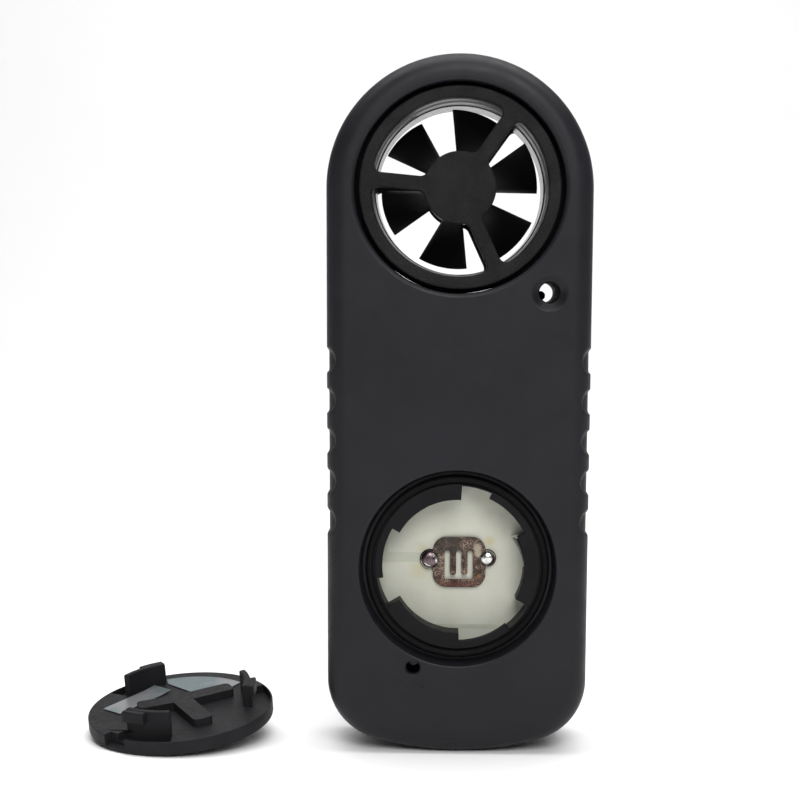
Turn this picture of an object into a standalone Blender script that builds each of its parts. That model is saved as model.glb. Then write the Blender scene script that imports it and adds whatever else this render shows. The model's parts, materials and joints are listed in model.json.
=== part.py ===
"""Pocket weather meter: a vane anemometer with its battery cover taken off.

Frame: the origin is the centre of the flat rear face. X is to the right as seen from behind,
Y runs into the meter (rear face at Y = 0, display side at Y = CASE_DEPTH) and Z is up, along the
meter's length. The meter stands on its rounded end and the loose cover lies beside it.
All sizes below are in millimetres and all angles in degrees; angles on the rear face are
counted from +X towards +Z.
"""

import math

import bmesh
import bpy
from mathutils import Matrix, Vector

MM = 0.001
GAP = 0.3
WELD_DISTANCE = 0.002

# Case outline
CASE_DEPTH = 18.0
PARTING_Y = 9.0
HALF_LENGTH = 52.5
TOP_RADIUS = 20.0
LOWER_HALF_WIDTH = 19.55
CORNER_RADIUS = 9.5
BASE_RADIUS = 45.0
EDGE_RADIUS = 3.0
WALL = 1.8
CORNER_X = LOWER_HALF_WIDTH - CORNER_RADIUS
BASE_CENTRE_Z = BASE_RADIUS - HALF_LENGTH
CORNER_Z = BASE_CENTRE_Z - math.sqrt((BASE_RADIUS - CORNER_RADIUS) ** 2 - CORNER_X ** 2)
BASE_HALF_ANGLE = math.degrees(math.asin(CORNER_X / (BASE_RADIUS - CORNER_RADIUS)))

# Finger grips on both sides
GRIP_COUNT = 5
GRIP_TOP_Z = 6.7
GRIP_PITCH = 6.06
GRIP_LENGTH = 3.6
GRIP_DEPTH = 0.35

# Vane and its guards
VANE_Z = HALF_LENGTH - TOP_RADIUS
VANE_HOLE_RADIUS = 15.7
VANE_COLLAR_RADIUS = 16.9
BARREL_RADIUS = 15.35
GUARD_RADIUS = 15.05
GUARD_OPENING = 13.2
GUARD_HUB_RADIUS = 5.4
GUARD_THICKNESS = 2.0
GUARD_SPOKE_ANGLES = (54.5, 174.5, 294.5)
GUARD_SPOKE_WIDTH = 2.2
GUARD_CORNER = 1.1
BLADE_COUNT = 6
BLADE_PHASE = 17.3
BLADE_TIP_RADIUS = 12.0
BLADE_ROOT_RADIUS = 4.7
BLADE_THICKNESS = 0.8
BLADE_SPAN = -36.5
IMPELLER_HUB_RADIUS = 5.1
IMPELLER_Y = (5.2, 12.8)
BLADE_Y = (5.7, 12.3)
SHAFT_RADIUS = 0.45

# Battery bay
BAY_Z = -24.4
BAY_MOUTH_RADIUS = 14.75
BAY_RADIUS = 12.25
BAY_SEAT_Y = 2.3
BAY_GROOVE_Y = 2.95
BAY_FLOOR_Y = 7.3
LUG_RADIUS = 10.1
LEDGE_RADIUS = 11.35
LUG_SPANS = ((87.0, 150.0), (210.5, 271.5), (331.0, 387.0))
LEDGE_SPANS = ((149.5, 189.0), (271.0, 310.0), (26.5, 65.0))
SEAL_RADIUS = 13.3
SEAL_SECTION = 0.55

# Lanyard hole, unit switch hole and case fastenings
LANYARD = (13.4, 17.0)
LANYARD_RADIUS = 1.5
SWITCH = (-6.6, -39.4)
SWITCH_HOLE_RADIUS = 1.06
CASE_SCREWS = ((-14.2, 9.9), (14.2, 9.9), (-11.0, -44.5), (11.0, -44.5))
BOARD_SCREWS = ((-15.6, 1.5), (15.6, 1.5), (-15.6, -33.0), (15.6, -33.0))

# Board, display stack and keys
BOARD_Y = (7.6, 8.8)
DISPLAY_Z = -6.2
KEY_X = 7.5
KEY_Z = -29.0
KEY_TRAVEL = 0.8
KEY_FLANGE_Y = 13.8
FASCIA_TOP_Z = 13.0

# Battery cover, lying inner side up with its lowest rim point on the ground
COVER_RADIUS = 14.4
COVER_THICKNESS = 2.2
COVER_CENTRE = (-42.96, 10.45)
COVER_LEAN = 8.96
COVER_ROLL = -3.67
HOOK_ANGLES = (130.0, 251.0, 9.0)
HOOK_SPAN = 39.0
HOOK_HEIGHT = 3.5
HOOK_WALL = (10.2, 11.15)
BARB_RADIUS = 12.05
BARB_HEIGHTS = (1.75, 3.4)
FOOT_RADIUS = 14.15
FOOT_DEPTH = 1.2
PRESS_ARMS = ((28.0, 8.6), (199.0, 6.7), (299.0, 10.0))
PRESS_ARM_WIDTH = 3.1
PRESS_ARM_HEIGHT = 1.3
PRESS_ARM_CORNER = 0.8
PRY_ANGLE = 233.0
PRY_HALF_WIDTH = 2.1
PRY_RADIUS = 12.9
LABEL_THICKNESS = 0.15


# ---------------------------------------------------------------- outlines

def polar(radius, angle, centre=(0.0, 0.0)):
    turn = math.radians(angle)
    return (centre[0] + radius * math.cos(turn), centre[1] + radius * math.sin(turn))


def arc(centre, radius, start, end, steps):
    return [polar(radius, start + (end - start) * i / steps, centre) for i in range(steps + 1)]


def circle(radius, steps, centre=(0.0, 0.0)):
    return arc(centre, radius, 0.0, 360.0 - 360.0 / steps, steps - 1)


def rectangle(width, height, centre=(0.0, 0.0), corner=0.0, steps=3):
    x, z = width / 2 - corner, height / 2 - corner
    if corner == 0.0:
        return [(centre[0] + a * x, centre[1] + b * z) for a, b in ((1, 1), (-1, 1), (-1, -1), (1, -1))]
    points = []
    for turn, (a, b) in enumerate(((1, 1), (-1, 1), (-1, -1), (1, -1))):
        points += arc((centre[0] + a * x, centre[1] + b * z), corner, 90 * turn, 90 * turn + 90, steps)
    return points


def sector(inner, outer, start, end, centre=(0.0, 0.0), steps=6):
    return arc(centre, outer, start, end, steps) + arc(centre, inner, end, start, steps)


def case_outline(inset=0.0):
    """The case seen from behind, moved inwards by inset, counter-clockwise."""
    side = 270.0 - BASE_HALF_ANGLE
    points = arc((0.0, VANE_Z), TOP_RADIUS - inset, 0, 180, 28)
    points += arc((-CORNER_X, CORNER_Z), CORNER_RADIUS - inset, 180, side, 6)
    points += arc((0.0, BASE_CENTRE_Z), BASE_RADIUS - inset, side, 540 - side, 6)[1:-1]
    points += arc((CORNER_X, CORNER_Z), CORNER_RADIUS - inset, 540 - side, 360, 6)
    return points


def guard_window(start, end):
    """One opening between two spokes of a vane guard, with rounded corners."""
    side = GUARD_SPOKE_WIDTH / 2 + GUARD_CORNER
    far, near = GUARD_OPENING - GUARD_CORNER, GUARD_HUB_RADIUS + GUARD_CORNER
    far_turn = math.degrees(math.asin(side / far))
    near_turn = math.degrees(math.asin(side / near))
    points = arc((0, 0), GUARD_OPENING, start + far_turn, end - far_turn, 9)
    points += arc(polar(far, end - far_turn), GUARD_CORNER, end - far_turn, end + 90, 4)[1:]
    points += arc(polar(near, end - near_turn), GUARD_CORNER, end + 90, end - near_turn + 180, 3)
    points += arc((0, 0), GUARD_HUB_RADIUS, end - near_turn, start + near_turn, 6)[1:]
    points += arc(polar(near, start + near_turn), GUARD_CORNER, start + near_turn + 180, start + 270, 3)[1:]
    points += arc(polar(far, start + far_turn), GUARD_CORNER, start - 90, start + far_turn, 4)[:-1]
    return [(x, z + VANE_Z) for x, z in points]


# ---------------------------------------------------------------- solids

def solid(name, vertices, faces):
    """A mesh object in millimetres; finish() brings it to metres once it is cut and joined."""
    mesh = bpy.data.meshes.new(name)
    mesh.from_pydata(vertices, [], faces)
    shape = bmesh.new()
    shape.from_mesh(mesh)
    bmesh.ops.recalc_face_normals(shape, faces=shape.faces)
    shape.to_mesh(mesh)
    shape.free()
    item = bpy.data.objects.new(name, mesh)
    bpy.context.scene.collection.objects.link(item)
    return item


def loft(name, rings):
    """A closed solid through rings of equally many points, capped at both ends."""
    count = len(rings[0])
    vertices = [point for ring in rings for point in ring]
    faces = [tuple(range(count)), tuple(range(len(vertices) - count, len(vertices)))]
    for level in range(len(rings) - 1):
        for i in range(count):
            j = (i + 1) % count
            low, high = level * count, (level + 1) * count
            faces.append((low + i, low + j, high + j, high + i))
    return solid(name, vertices, faces)


def prism(name, outline, y0, y1):
    """An outline in X and Z, extruded along Y."""
    return loft(name, [[(x, y, z) for x, z in outline] for y in (y0, y1)])


def tower(name, outline, z0, z1):
    """An outline in X and Y, extruded along Z."""
    return loft(name, [[(x, y, z) for x, y in outline] for z in (z0, z1)])


def turned(name, profile, centre=(0.0, 0.0), steps=32):
    """A closed (radius, y) profile turned about an axis along Y; radius 0 lies on the axis."""
    vertices, rows = [], []
    for radius, y in profile:
        if radius == 0.0:
            rows.append([len(vertices)] * steps)
            vertices.append((centre[0], y, centre[1]))
        else:
            rows.append(list(range(len(vertices), len(vertices) + steps)))
            vertices += [(x, y, z) for x, z in circle(radius, steps, centre)]
    faces = []
    for a, b in zip(rows, rows[1:] + rows[:1]):
        for i in range(steps):
            j = (i + 1) % steps
            corners = list(dict.fromkeys((a[i], a[j], b[j], b[i])))
            if len(corners) > 2:
                faces.append(tuple(corners))
    return solid(name, vertices, faces)


def rod(name, radius, y0, y1, centre=(0.0, 0.0), steps=24):
    return prism(name, circle(radius, steps, centre), y0, y1)


def block(name, centre, size):
    x, y, z = centre
    return prism(name, rectangle(size[0], size[2], (x, z)), y - size[1] / 2, y + size[1] / 2)


def weld(mesh):
    """Close the hair-thin slits that a Boolean can leave between vertices that should meet."""
    shape = bmesh.new()
    shape.from_mesh(mesh)
    bmesh.ops.remove_doubles(shape, verts=shape.verts, dist=WELD_DISTANCE)
    bmesh.ops.dissolve_degenerate(shape, edges=shape.edges, dist=WELD_DISTANCE)
    bmesh.ops.holes_fill(shape, edges=[edge for edge in shape.edges if edge.is_boundary], sides=8)
    shape.to_mesh(mesh)
    shape.free()


def combine(body, operation, tools):
    """Apply Boolean modifiers to body, then remove the tools."""
    for tool in tools:
        step = body.modifiers.new(operation, "BOOLEAN")
        step.operation = operation
        step.solver = "EXACT"
        step.object = tool
    bpy.context.view_layer.update()
    depsgraph = bpy.context.evaluated_depsgraph_get()
    result = bpy.data.meshes.new_from_object(body.evaluated_get(depsgraph))
    body.modifiers.clear()
    body.data = result
    for tool in tools:
        bpy.data.objects.remove(tool)
    weld(result)
    return body


def cut(body, *tools):
    return combine(body, "DIFFERENCE", tools)


def join(body, *tools):
    return combine(body, "UNION", tools)


# ---------------------------------------------------------------- materials

COLOURS = {
    "soft_black": ((0.028, 0.028, 0.032), 0.62, 0.0),
    "textured_black": ((0.018, 0.018, 0.018), 0.7, 0.0),
    "gloss_black": ((0.012, 0.012, 0.012), 0.12, 0.0),
    "vane_black": ((0.006, 0.006, 0.007), 0.45, 0.0),
    "cover_black": ((0.044, 0.045, 0.047), 0.5, 0.0),
    "seal_rubber": ((0.012, 0.012, 0.013), 0.55, 0.0),
    "board_white": ((0.55, 0.55, 0.48), 0.45, 0.0),
    "tinned_brown": ((0.14, 0.10, 0.09), 0.4, 0.9),
    "solder": ((0.62, 0.62, 0.60), 0.2, 1.0),
    "steel": ((0.55, 0.55, 0.55), 0.3, 1.0),
    "display_grey": ((0.35, 0.37, 0.33), 0.2, 0.0),
    "clear": ((0.80, 0.82, 0.82), 0.05, 0.0),
    "milky": ((0.80, 0.80, 0.78), 0.4, 0.0),
    "label_silver": ((0.14, 0.15, 0.16), 0.35, 0.4),
    "magnet": ((0.09, 0.09, 0.10), 0.4, 0.6),
    "key_grey": ((0.10, 0.11, 0.12), 0.6, 0.0),
}


def material(slot):
    if slot in bpy.data.materials:
        return bpy.data.materials[slot]
    colour, roughness, metallic = COLOURS[slot]
    result = bpy.data.materials.new(slot)
    result.use_nodes = True
    shader = result.node_tree.nodes["Principled BSDF"]
    shader.inputs["Base Color"].default_value = (*colour, 1.0)
    shader.inputs["Roughness"].default_value = roughness
    shader.inputs["Metallic"].default_value = metallic
    return result


def finish(item, slot, origin=None, parent=None):
    """Bring the solid to metres, give it its material and shading, and place its origin."""
    item.data.transform(Matrix.Scale(MM, 4))
    item.data.materials.clear()
    item.data.materials.append(material(slot))
    item.data.shade_smooth()
    item.data.set_sharp_from_angle(angle=math.radians(30))
    if origin is not None:
        point = Vector(origin) * MM
        item.data.transform(Matrix.Translation(-point))
        item.location = point
    if parent is not None:
        item.parent = parent
    return item


# ---------------------------------------------------------------- case halves

def edge_profile(rear):
    """(y, inset) pairs of a case half's outside, from its flat face to the parting line."""
    steps = 3
    profile = []
    for i in range(steps + 1):
        turn = math.radians(90.0 * i / steps)
        profile.append((EDGE_RADIUS * (1 - math.cos(turn)), EDGE_RADIUS * (1 - math.sin(turn))))
    profile.append((PARTING_Y - GAP / 2, 0.0))
    return profile if rear else [(CASE_DEPTH - y, inset) for y, inset in profile]


def case_half(name, rear):
    """The hollow shell of one case half, with its vane collar."""
    face = 0.0 if rear else CASE_DEPTH
    inward = 1.0 if rear else -1.0
    rings = [[(x, y, z) for x, z in case_outline(inset)] for y, inset in edge_profile(rear)]
    hollow = [(WALL, 4.2), (3.4, WALL + 0.3), (PARTING_Y + 1, WALL)]
    shell = loft(name, rings)
    inside = loft("inside", [[(x, face + inward * y, z) for x, z in case_outline(inset)]
                             for y, inset in hollow])
    cut(shell, inside)
    collar_end = face + inward * (PARTING_Y - GAP)
    start = face + inward * 1.0
    collar = turned("collar", [(VANE_HOLE_RADIUS - 0.6, start), (VANE_COLLAR_RADIUS, start),
                               (VANE_COLLAR_RADIUS, collar_end), (VANE_HOLE_RADIUS - 0.6, collar_end)],
                    (0.0, VANE_Z), 32)
    join(shell, collar)
    lip = 0.35
    mouth = turned("mouth", [(0, face - inward), (VANE_HOLE_RADIUS + lip + 1.0, face - inward),
                             (VANE_HOLE_RADIUS, face + inward * lip),
                             (VANE_HOLE_RADIUS, face + inward * 10), (0, face + inward * 10)],
                   (0.0, VANE_Z), 44)
    return cut(shell, mouth)


def grip_cutters():
    """Shallow thumb-shaped scallops along both sides."""
    radius = (GRIP_LENGTH ** 2 / 4 + GRIP_DEPTH ** 2) / (2 * GRIP_DEPTH)
    cutters = []
    for side in (-1, 1):
        for row in range(GRIP_COUNT):
            z = GRIP_TOP_Z - row * GRIP_PITCH
            half_width = TOP_RADIUS + (LOWER_HALF_WIDTH - TOP_RADIUS) * (VANE_Z - z) / (VANE_Z - CORNER_Z)
            centre_x = side * (half_width - GRIP_DEPTH + radius)
            turn = 180.0 if side > 0 else 0.0
            near = arc((centre_x, z), radius, turn - 30, turn + 30, 6)
            outline = near + [(side * 24, z - side * 3), (side * 24, z + side * 3)]
            cutters.append(prism("grip", outline, 1.4, CASE_DEPTH - 1.4))
    return cutters


def boss(radius, y0, y1, centre):
    return rod("boss", radius, y0, y1, centre, 12)


def make_rear_case():
    shell = case_half("rear_case", rear=True)
    bay = (0.0, BAY_Z)
    seat = turned("seat", [(BAY_RADIUS - 0.5, 0.9), (16.0, 0.9), (16.0, 4.2), (13.7, 4.2),
                           (13.7, BAY_FLOOR_Y), (BAY_RADIUS - 0.5, BAY_FLOOR_Y)], bay, 32)
    join(shell, seat)
    cut(shell, rod("well", BAY_RADIUS, -1, 8, bay, 40))
    lugs = [prism("lug", sector(LUG_RADIUS, 13.0, a, b, bay, 6), 1.2, 6.2) for a, b in LUG_SPANS]
    ledges = [prism("ledge", sector(LEDGE_RADIUS, 13.0, a, b, bay, 4), 1.2, 3.5) for a, b in LEDGE_SPANS]
    join(shell, *lugs)
    join(shell, *ledges)
    mouth = turned("mouth", [(0, -1), (BAY_MOUTH_RADIUS + 1.15, -1), (BAY_MOUTH_RADIUS, 0.15),
                             (BAY_MOUTH_RADIUS, BAY_GROOVE_Y), (BAY_RADIUS + 0.3, BAY_GROOVE_Y),
                             (BAY_RADIUS + 0.3, BAY_SEAT_Y), (0, BAY_SEAT_Y)], bay, 44)
    pocket = prism("pocket", sector(9.7, 11.5, -3, 29, bay, 6), 3.4, 6.6)
    cut(shell, mouth, pocket)
    join(shell, boss(3.0, 1.0, PARTING_Y - GAP, LANYARD))
    join(shell, *[boss(2.2, 1.0, PARTING_Y - GAP, place) for place in CASE_SCREWS])
    dish = turned("dish", [(0, -1), (3.6, -1), (2.75, 0), (2.1, 0.35), (1.7, 1.1), (LANYARD_RADIUS, 1.7),
                           (LANYARD_RADIUS, 10), (0, 10)], LANYARD, 18)
    pilots = [rod("pilot", 1.3, 3.6, 10, place, 10) for place in CASE_SCREWS]
    cut(shell, dish, rod("pinhole", SWITCH_HOLE_RADIUS, -1, 4.8, SWITCH, 16), *pilots)
    cut(shell, *grip_cutters())
    return finish(shell, "soft_black")


def fascia_outline(inset):
    """The display side's recessed panel: the case outline cut off below the vane."""
    lower = [(x, z) for x, z in case_outline(inset) if z < CORNER_Z + 0.001]
    half = max(x for x, z in lower)
    corner = 3.0
    top = FASCIA_TOP_Z + 3.2 - inset
    points = arc((half - corner, top - corner), corner, 0, 90, 4)
    points += arc((corner - half, top - corner), corner, 90, 180, 4)
    return points + lower


def make_front_case():
    shell = case_half("front_case", rear=False)
    deck = prism("deck", case_outline(2.4), 15.2, 16.6)
    cut(deck, rod("clear", VANE_HOLE_RADIUS + 0.5, 14, 18, (0.0, VANE_Z), 48))
    join(shell, deck)
    join(shell, boss(3.0, PARTING_Y + GAP, 17.0, LANYARD),
         *[boss(2.6, PARTING_Y + GAP, 16.5, place) for place in CASE_SCREWS],
         *[boss(2.2, PARTING_Y + 0.1, 16.5, place) for place in BOARD_SCREWS])
    recess = prism("recess", fascia_outline(2.9), 17.1, 19)
    window_pocket = prism("pocket", rectangle(25.6, 23.6, (0, DISPLAY_Z), 1.5), 15.6, 18)
    window_hole = prism("hole", rectangle(22.6, 20.6, (0, DISPLAY_Z), 1.0), 14, 18)
    key_holes = [prism("key", rectangle(10.6, 6.6, (side * KEY_X, KEY_Z), 3.2, 5), 14, 18)
                 for side in (-1, 1)]
    dish = turned("dish", [(0, 19), (3.1, 19), (2.3, 18), (1.8, 17.4), (LANYARD_RADIUS, 16.6),
                           (LANYARD_RADIUS, 8), (0, 8)], LANYARD, 18)
    cut(shell, recess, window_pocket, window_hole, *key_holes)
    cut(shell, dish)
    for place in CASE_SCREWS:
        cut(shell, turned("bore", [(0, 8), (1.4, 8), (1.4, 13.0), (2.1, 13.0), (2.1, 19), (0, 19)], place, 12))
    cut(shell, *[rod("pilot", 1.1, 8, 13, place, 10) for place in BOARD_SCREWS])
    cut(shell, *grip_cutters())
    post = (LANYARD[0] - 0.8, LANYARD[1] - 0.45)
    join(shell, rod("post", 0.72, 10.0, 16.0, post, 14))
    return finish(shell, "soft_black")


def make_fascia():
    panel = prism("front_fascia", fascia_outline(3.2), 17.35, 17.95)
    window = prism("window", rectangle(22.4, 20.4, (0, DISPLAY_Z), 1.0), 17, 19)
    holes = [prism("key", rectangle(10.6, 6.6, (side * KEY_X, KEY_Z), 3.2, 5), 17, 19) for side in (-1, 1)]
    return finish(cut(panel, window, *holes), "textured_black")


# ---------------------------------------------------------------- vane

def make_guard(name, rear):
    face = GAP if rear else CASE_DEPTH - GAP
    inward = 1.0 if rear else -1.0
    back = face + inward * GUARD_THICKNESS
    centre = (0.0, VANE_Z)
    guard = rod(name, GUARD_RADIUS, min(face, back), max(face, back), centre, 48)
    first = GUARD_SPOKE_ANGLES[0]
    for i in range(3):
        cut(guard, prism("window", guard_window(first + 120 * i, first + 120 * (i + 1)),
                         min(face, back) - 1, max(face, back) + 1))
    boss_end = back + inward * 1.5
    join(guard, turned("boss", [(0, face + inward), (2.6, face + inward), (2.6, boss_end), (0, boss_end)],
                       centre, 24))
    cut(guard, turned("seat", [(0, face + inward * 1.3), (1.8, face + inward * 1.3),
                               (1.8, boss_end + inward), (0, boss_end + inward)], centre, 24))
    return finish(guard, "textured_black")


def make_barrel():
    profile = [(BARREL_RADIUS, 2.6), (13.35, 2.6), (13.2, 5.6), (12.95, 5.6), (12.9, 8.6), (12.75, 8.6),
               (12.65, 15.4), (BARREL_RADIUS, 15.4)]
    return finish(turned("vane_barrel", profile, (0.0, VANE_Z), 44), "gloss_black")


def blade(angle):
    """A pitched blade: the chord runs down the barrel while it turns about the axis."""
    stations, chords = 2, 4
    rings = []
    for i in range(stations + 1):
        radius = BLADE_ROOT_RADIUS + (BLADE_TIP_RADIUS - BLADE_ROOT_RADIUS) * i / stations
        front, back = [], []
        for j in range(chords + 1):
            share = j / chords
            turn = angle + BLADE_SPAN * (share - 0.5)
            y = BLADE_Y[0] + (BLADE_Y[1] - BLADE_Y[0]) * share
            x, z = polar(radius, turn, (0.0, VANE_Z))
            front.append((x, y - BLADE_THICKNESS / 2, z))
            back.append((x, y + BLADE_THICKNESS / 2, z))
        rings.append(front + back[::-1])
    return loft("blade", rings)


def make_impeller():
    centre = (0.0, VANE_Z)
    hub = turned("impeller", [(0.9, IMPELLER_Y[0]), (IMPELLER_HUB_RADIUS - 0.5, IMPELLER_Y[0]),
                              (IMPELLER_HUB_RADIUS, IMPELLER_Y[0] + 0.5), (IMPELLER_HUB_RADIUS, IMPELLER_Y[1]),
                              (0.9, IMPELLER_Y[1])], centre, 24)
    for i in range(BLADE_COUNT):
        join(hub, blade(BLADE_PHASE + 360.0 * i / BLADE_COUNT))
    origin = (0.0, (IMPELLER_Y[0] + IMPELLER_Y[1]) / 2, VANE_Z)
    finish(hub, "vane_black", origin)
    shaft = turned("impeller_shaft", [(0, 2.75), (SHAFT_RADIUS, 3.1), (SHAFT_RADIUS, 14.9), (0, 15.25)],
                   centre, 12)
    finish(shaft, "steel", origin)
    ring = turned("rotor_magnet", [(2.2, 13.0), (4.6, 13.0), (4.6, 13.8), (2.2, 13.8)], centre, 20)
    finish(ring, "magnet", origin)


def make_bearings():
    for name, closed, opened in (("bearing_cup_rear", 1.9, 3.7), ("bearing_cup_front", 16.1, 14.3)):
        floor = closed + (0.55 if opened > closed else -0.55)
        finish(turned(name, [(0, closed), (1.5, closed), (1.5, opened), (0.75, opened), (0.75, floor),
                             (0, floor)], (0.0, VANE_Z), 20), "steel")


def make_hall_sensor():
    x, z = polar(4.05, GUARD_SPOKE_ANGLES[0], (0.0, VANE_Z))
    finish(block("hall_sensor", (x, 14.9, z), (1.6, 0.9, 1.6)), "gloss_black")


# ---------------------------------------------------------------- battery bay hardware

def make_seal():
    centre = (0.0, BAY_Z)
    middle = BAY_GROOVE_Y - 0.1 - SEAL_SECTION
    profile = [(SEAL_RADIUS + SEAL_SECTION * math.cos(math.radians(t)),
                middle + SEAL_SECTION * math.sin(math.radians(t))) for t in range(0, 360, 60)]
    finish(turned("battery_seal_ring", profile, centre, 36), "seal_rubber")


def make_contacts():
    centre = (0.35, BAY_Z)
    plate = prism("battery_contact_negative", rectangle(8.1, 7.8, centre, 2.3, 4), 7.0, 7.25)
    slot = prism("slot", rectangle(4.25, 4.4, (centre[0] - 0.07, centre[1] - 0.5), 0.4, 2), 6, 8)
    bites = [rod("bite", 1.5, 6, 8, (centre[0] + side * 4.5, centre[1] + 0.6), 16) for side in (-1, 1)]
    cut(plate, slot, *bites)
    for x in (-0.95, 0.85):
        tongue = loft("tongue", [[(centre[0] + x + a * 0.45, y + t, z) for a, t in
                                  ((-1, 0), (1, 0), (1, 0.25), (-1, 0.25))]
                                 for y, z in ((7.0, centre[1] + 2.4), (6.2, centre[1] - 2.0))])
        join(plate, tongue)
    finish(plate, "tinned_brown")
    for name, side, radius in (("solder_joint_left", -1, 1.4), ("solder_joint_right", 1, 1.2)):
        place = (centre[0] + side * 4.5, centre[1] + 0.6)
        dome = [(0, 7.4), (radius, 7.4), (radius * 0.96, 6.95), (radius * 0.7, 6.6), (0, 6.4)]
        finish(turned(name, dome, place, 16), "solder")
    rings = []
    for y, lean in ((3.9, 0.0), (7.1, 1.25)):
        radii = [10.55 - lean * (0.25 + 0.75 * i / 8) for i in range(9)]
        turns = [0.5 + 26.0 * i / 8 for i in range(9)]
        inner = [polar(radius - 0.15, turn, (0.0, BAY_Z)) for radius, turn in zip(radii, turns)]
        outer = [polar(radius + 0.15, turn, (0.0, BAY_Z)) for radius, turn in zip(radii, turns)]
        rings.append([(x, y, z) for x, z in inner + outer[::-1]])
    finish(loft("battery_contact_positive", rings), "steel")


def make_unit_switch():
    body = block("unit_switch_body", (SWITCH[0], 6.35, SWITCH[1]), (3.0, 1.9, 3.0))
    cut(body, rod("well", 1.05, 4, 6.6, SWITCH, 16))
    finish(body, "gloss_black")
    finish(rod("unit_switch_plunger", 0.7, 5.0, 6.2, SWITCH, 16), "milky", (SWITCH[0], 5.0, SWITCH[1]))


# ---------------------------------------------------------------- electronics and display

def make_board():
    notch_x, notch_z, top, low, tab = 11.0, 6.9, 12.8, -41.3, -43.4
    right = [(notch_x, top), (notch_x, notch_z), (17.2, notch_z), (17.2, low), (7.9, low), (7.9, tab)]
    outline = [(-x, z) for x, z in right][::-1] + right
    board = prism("main_board", outline, *BOARD_Y)
    cut(board, *[rod("hole", 1.3, 7, 10, place, 16) for place in BOARD_SCREWS])
    finish(board, "board_white")
    finish(turned("processor_blob", [(0, 7.45), (4.0, 7.45), (3.6, 6.9), (2.2, 6.45), (0, 6.3)],
                  (-6.0, 3.5), 20), "gloss_black")
    can = tower("crystal_can", [(5.0 + x, 6.25 + y) for x, y in circle(1.0, 16)], -6.5, -0.5)
    finish(can, "steel")
    finish(block("capacitor", (12.0, 6.6, 1.0), (2.0, 1.5, 3.4)), "label_silver")
    bead = turned("thermistor", [(0, 7.3), (0.6, 7.55), (0.75, 8.2), (0.6, 8.85), (0, 9.1)], (0.0, 14.1), 12)
    finish(bead, "gloss_black")


def frame(name, outer, inner, y0, y1, slot):
    ring = prism(name, rectangle(*outer, (0, DISPLAY_Z), 0.6), y0, y1)
    opening = prism("opening", rectangle(*inner, (0, DISPLAY_Z), 0.3), y0 - 1, y1 + 1)
    return finish(cut(ring, opening), slot)


def make_display():
    centre = (0.0, DISPLAY_Z)
    finish(prism("backlight_guide", rectangle(23.4, 19.4, centre, 0.4), 9.15, 11.3), "milky")
    finish(prism("lcd_rear_glass", rectangle(24, 24, centre), 11.6, 12.4), "clear")
    finish(prism("lcd_front_glass", rectangle(24, 21, centre), 12.6, 13.4), "display_grey")
    for name, side in (("zebra_strip_top", 1), ("zebra_strip_bottom", -1)):
        finish(block(name, (0, 10.2, DISPLAY_Z + side * 11.0), (22, 2.1, 1.5)), "key_grey")
    frame("lcd_holder", (26.4, 26.4), (24.8, 24.8), 9.15, 14.6, "textured_black")
    frame("window_gasket", (25.0, 23.0), (22.8, 20.8), 15.75, 16.1, "seal_rubber")
    finish(prism("display_window", rectangle(25.0, 23.0, centre, 1.3), 16.25, 17.15), "clear")


def make_keys():
    for name, side in (("key_left", -1), ("key_right", 1)):
        place = (side * KEY_X, KEY_Z)
        cap = loft(name, [[(x, y, z) for x, z in rectangle(w, h, place, r, 5)] for y, w, h, r in
                          ((13.9, 9.9, 5.9, 2.9), (18.5, 9.9, 5.9, 2.9), (18.9, 9.1, 5.1, 2.5))])
        join(cap, prism("flange", rectangle(12.4, 8.4, place, 3.6, 5), KEY_FLANGE_Y, KEY_FLANGE_Y + 1.0))
        finish(cap, "key_grey", (place[0], 18.9, place[1]))
    mat = prism("keypad_mat", rectangle(26.0, 12.0, (0, KEY_Z), 1.5), 9.15, 10.4)
    pad_top = KEY_FLANGE_Y - KEY_TRAVEL - 0.4
    pads = [prism("pad", rectangle(6.5, 4.5, (side * KEY_X, KEY_Z), 2.0), 10.0, pad_top) for side in (-1, 1)]
    join(mat, *pads)
    finish(mat, "seal_rubber")


def make_screws():
    for i, place in enumerate(CASE_SCREWS):
        finish(turned(f"case_screw_{i + 1}", [(0, 4.2), (0.9, 4.9), (0.9, 13.3), (1.8, 13.3), (1.8, 14.3),
                                              (1.3, 14.8), (0, 14.8)], place, 10), "steel")
    for i, place in enumerate(BOARD_SCREWS):
        finish(turned(f"board_screw_{i + 1}", [(0, 6.1), (1.2, 6.1), (1.7, 6.5), (1.7, 7.3), (0.8, 7.3),
                                               (0.8, 12.0), (0, 12.5)], place, 10), "steel")


# ---------------------------------------------------------------- battery cover

def star_outline():
    """The raised three-armed rib that holds the cell down."""
    side = PRESS_ARM_WIDTH / 2
    points = []
    for i, (angle, length) in enumerate(PRESS_ARMS):
        along, across = length - PRESS_ARM_CORNER, side - PRESS_ARM_CORNER
        for sign in (-1, 1):
            centre = polar(math.hypot(along, across), angle + sign * math.degrees(math.atan2(across, along)))
            start = angle - 90.0 if sign < 0 else angle
            points += arc(centre, PRESS_ARM_CORNER, start, start + 90.0, 3)
        following = PRESS_ARMS[(i + 1) % len(PRESS_ARMS)][0]
        half_turn = ((following - angle) % 360.0) / 2
        points.append(polar(side / math.sin(math.radians(half_turn)), angle + half_turn))
    return points


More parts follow.
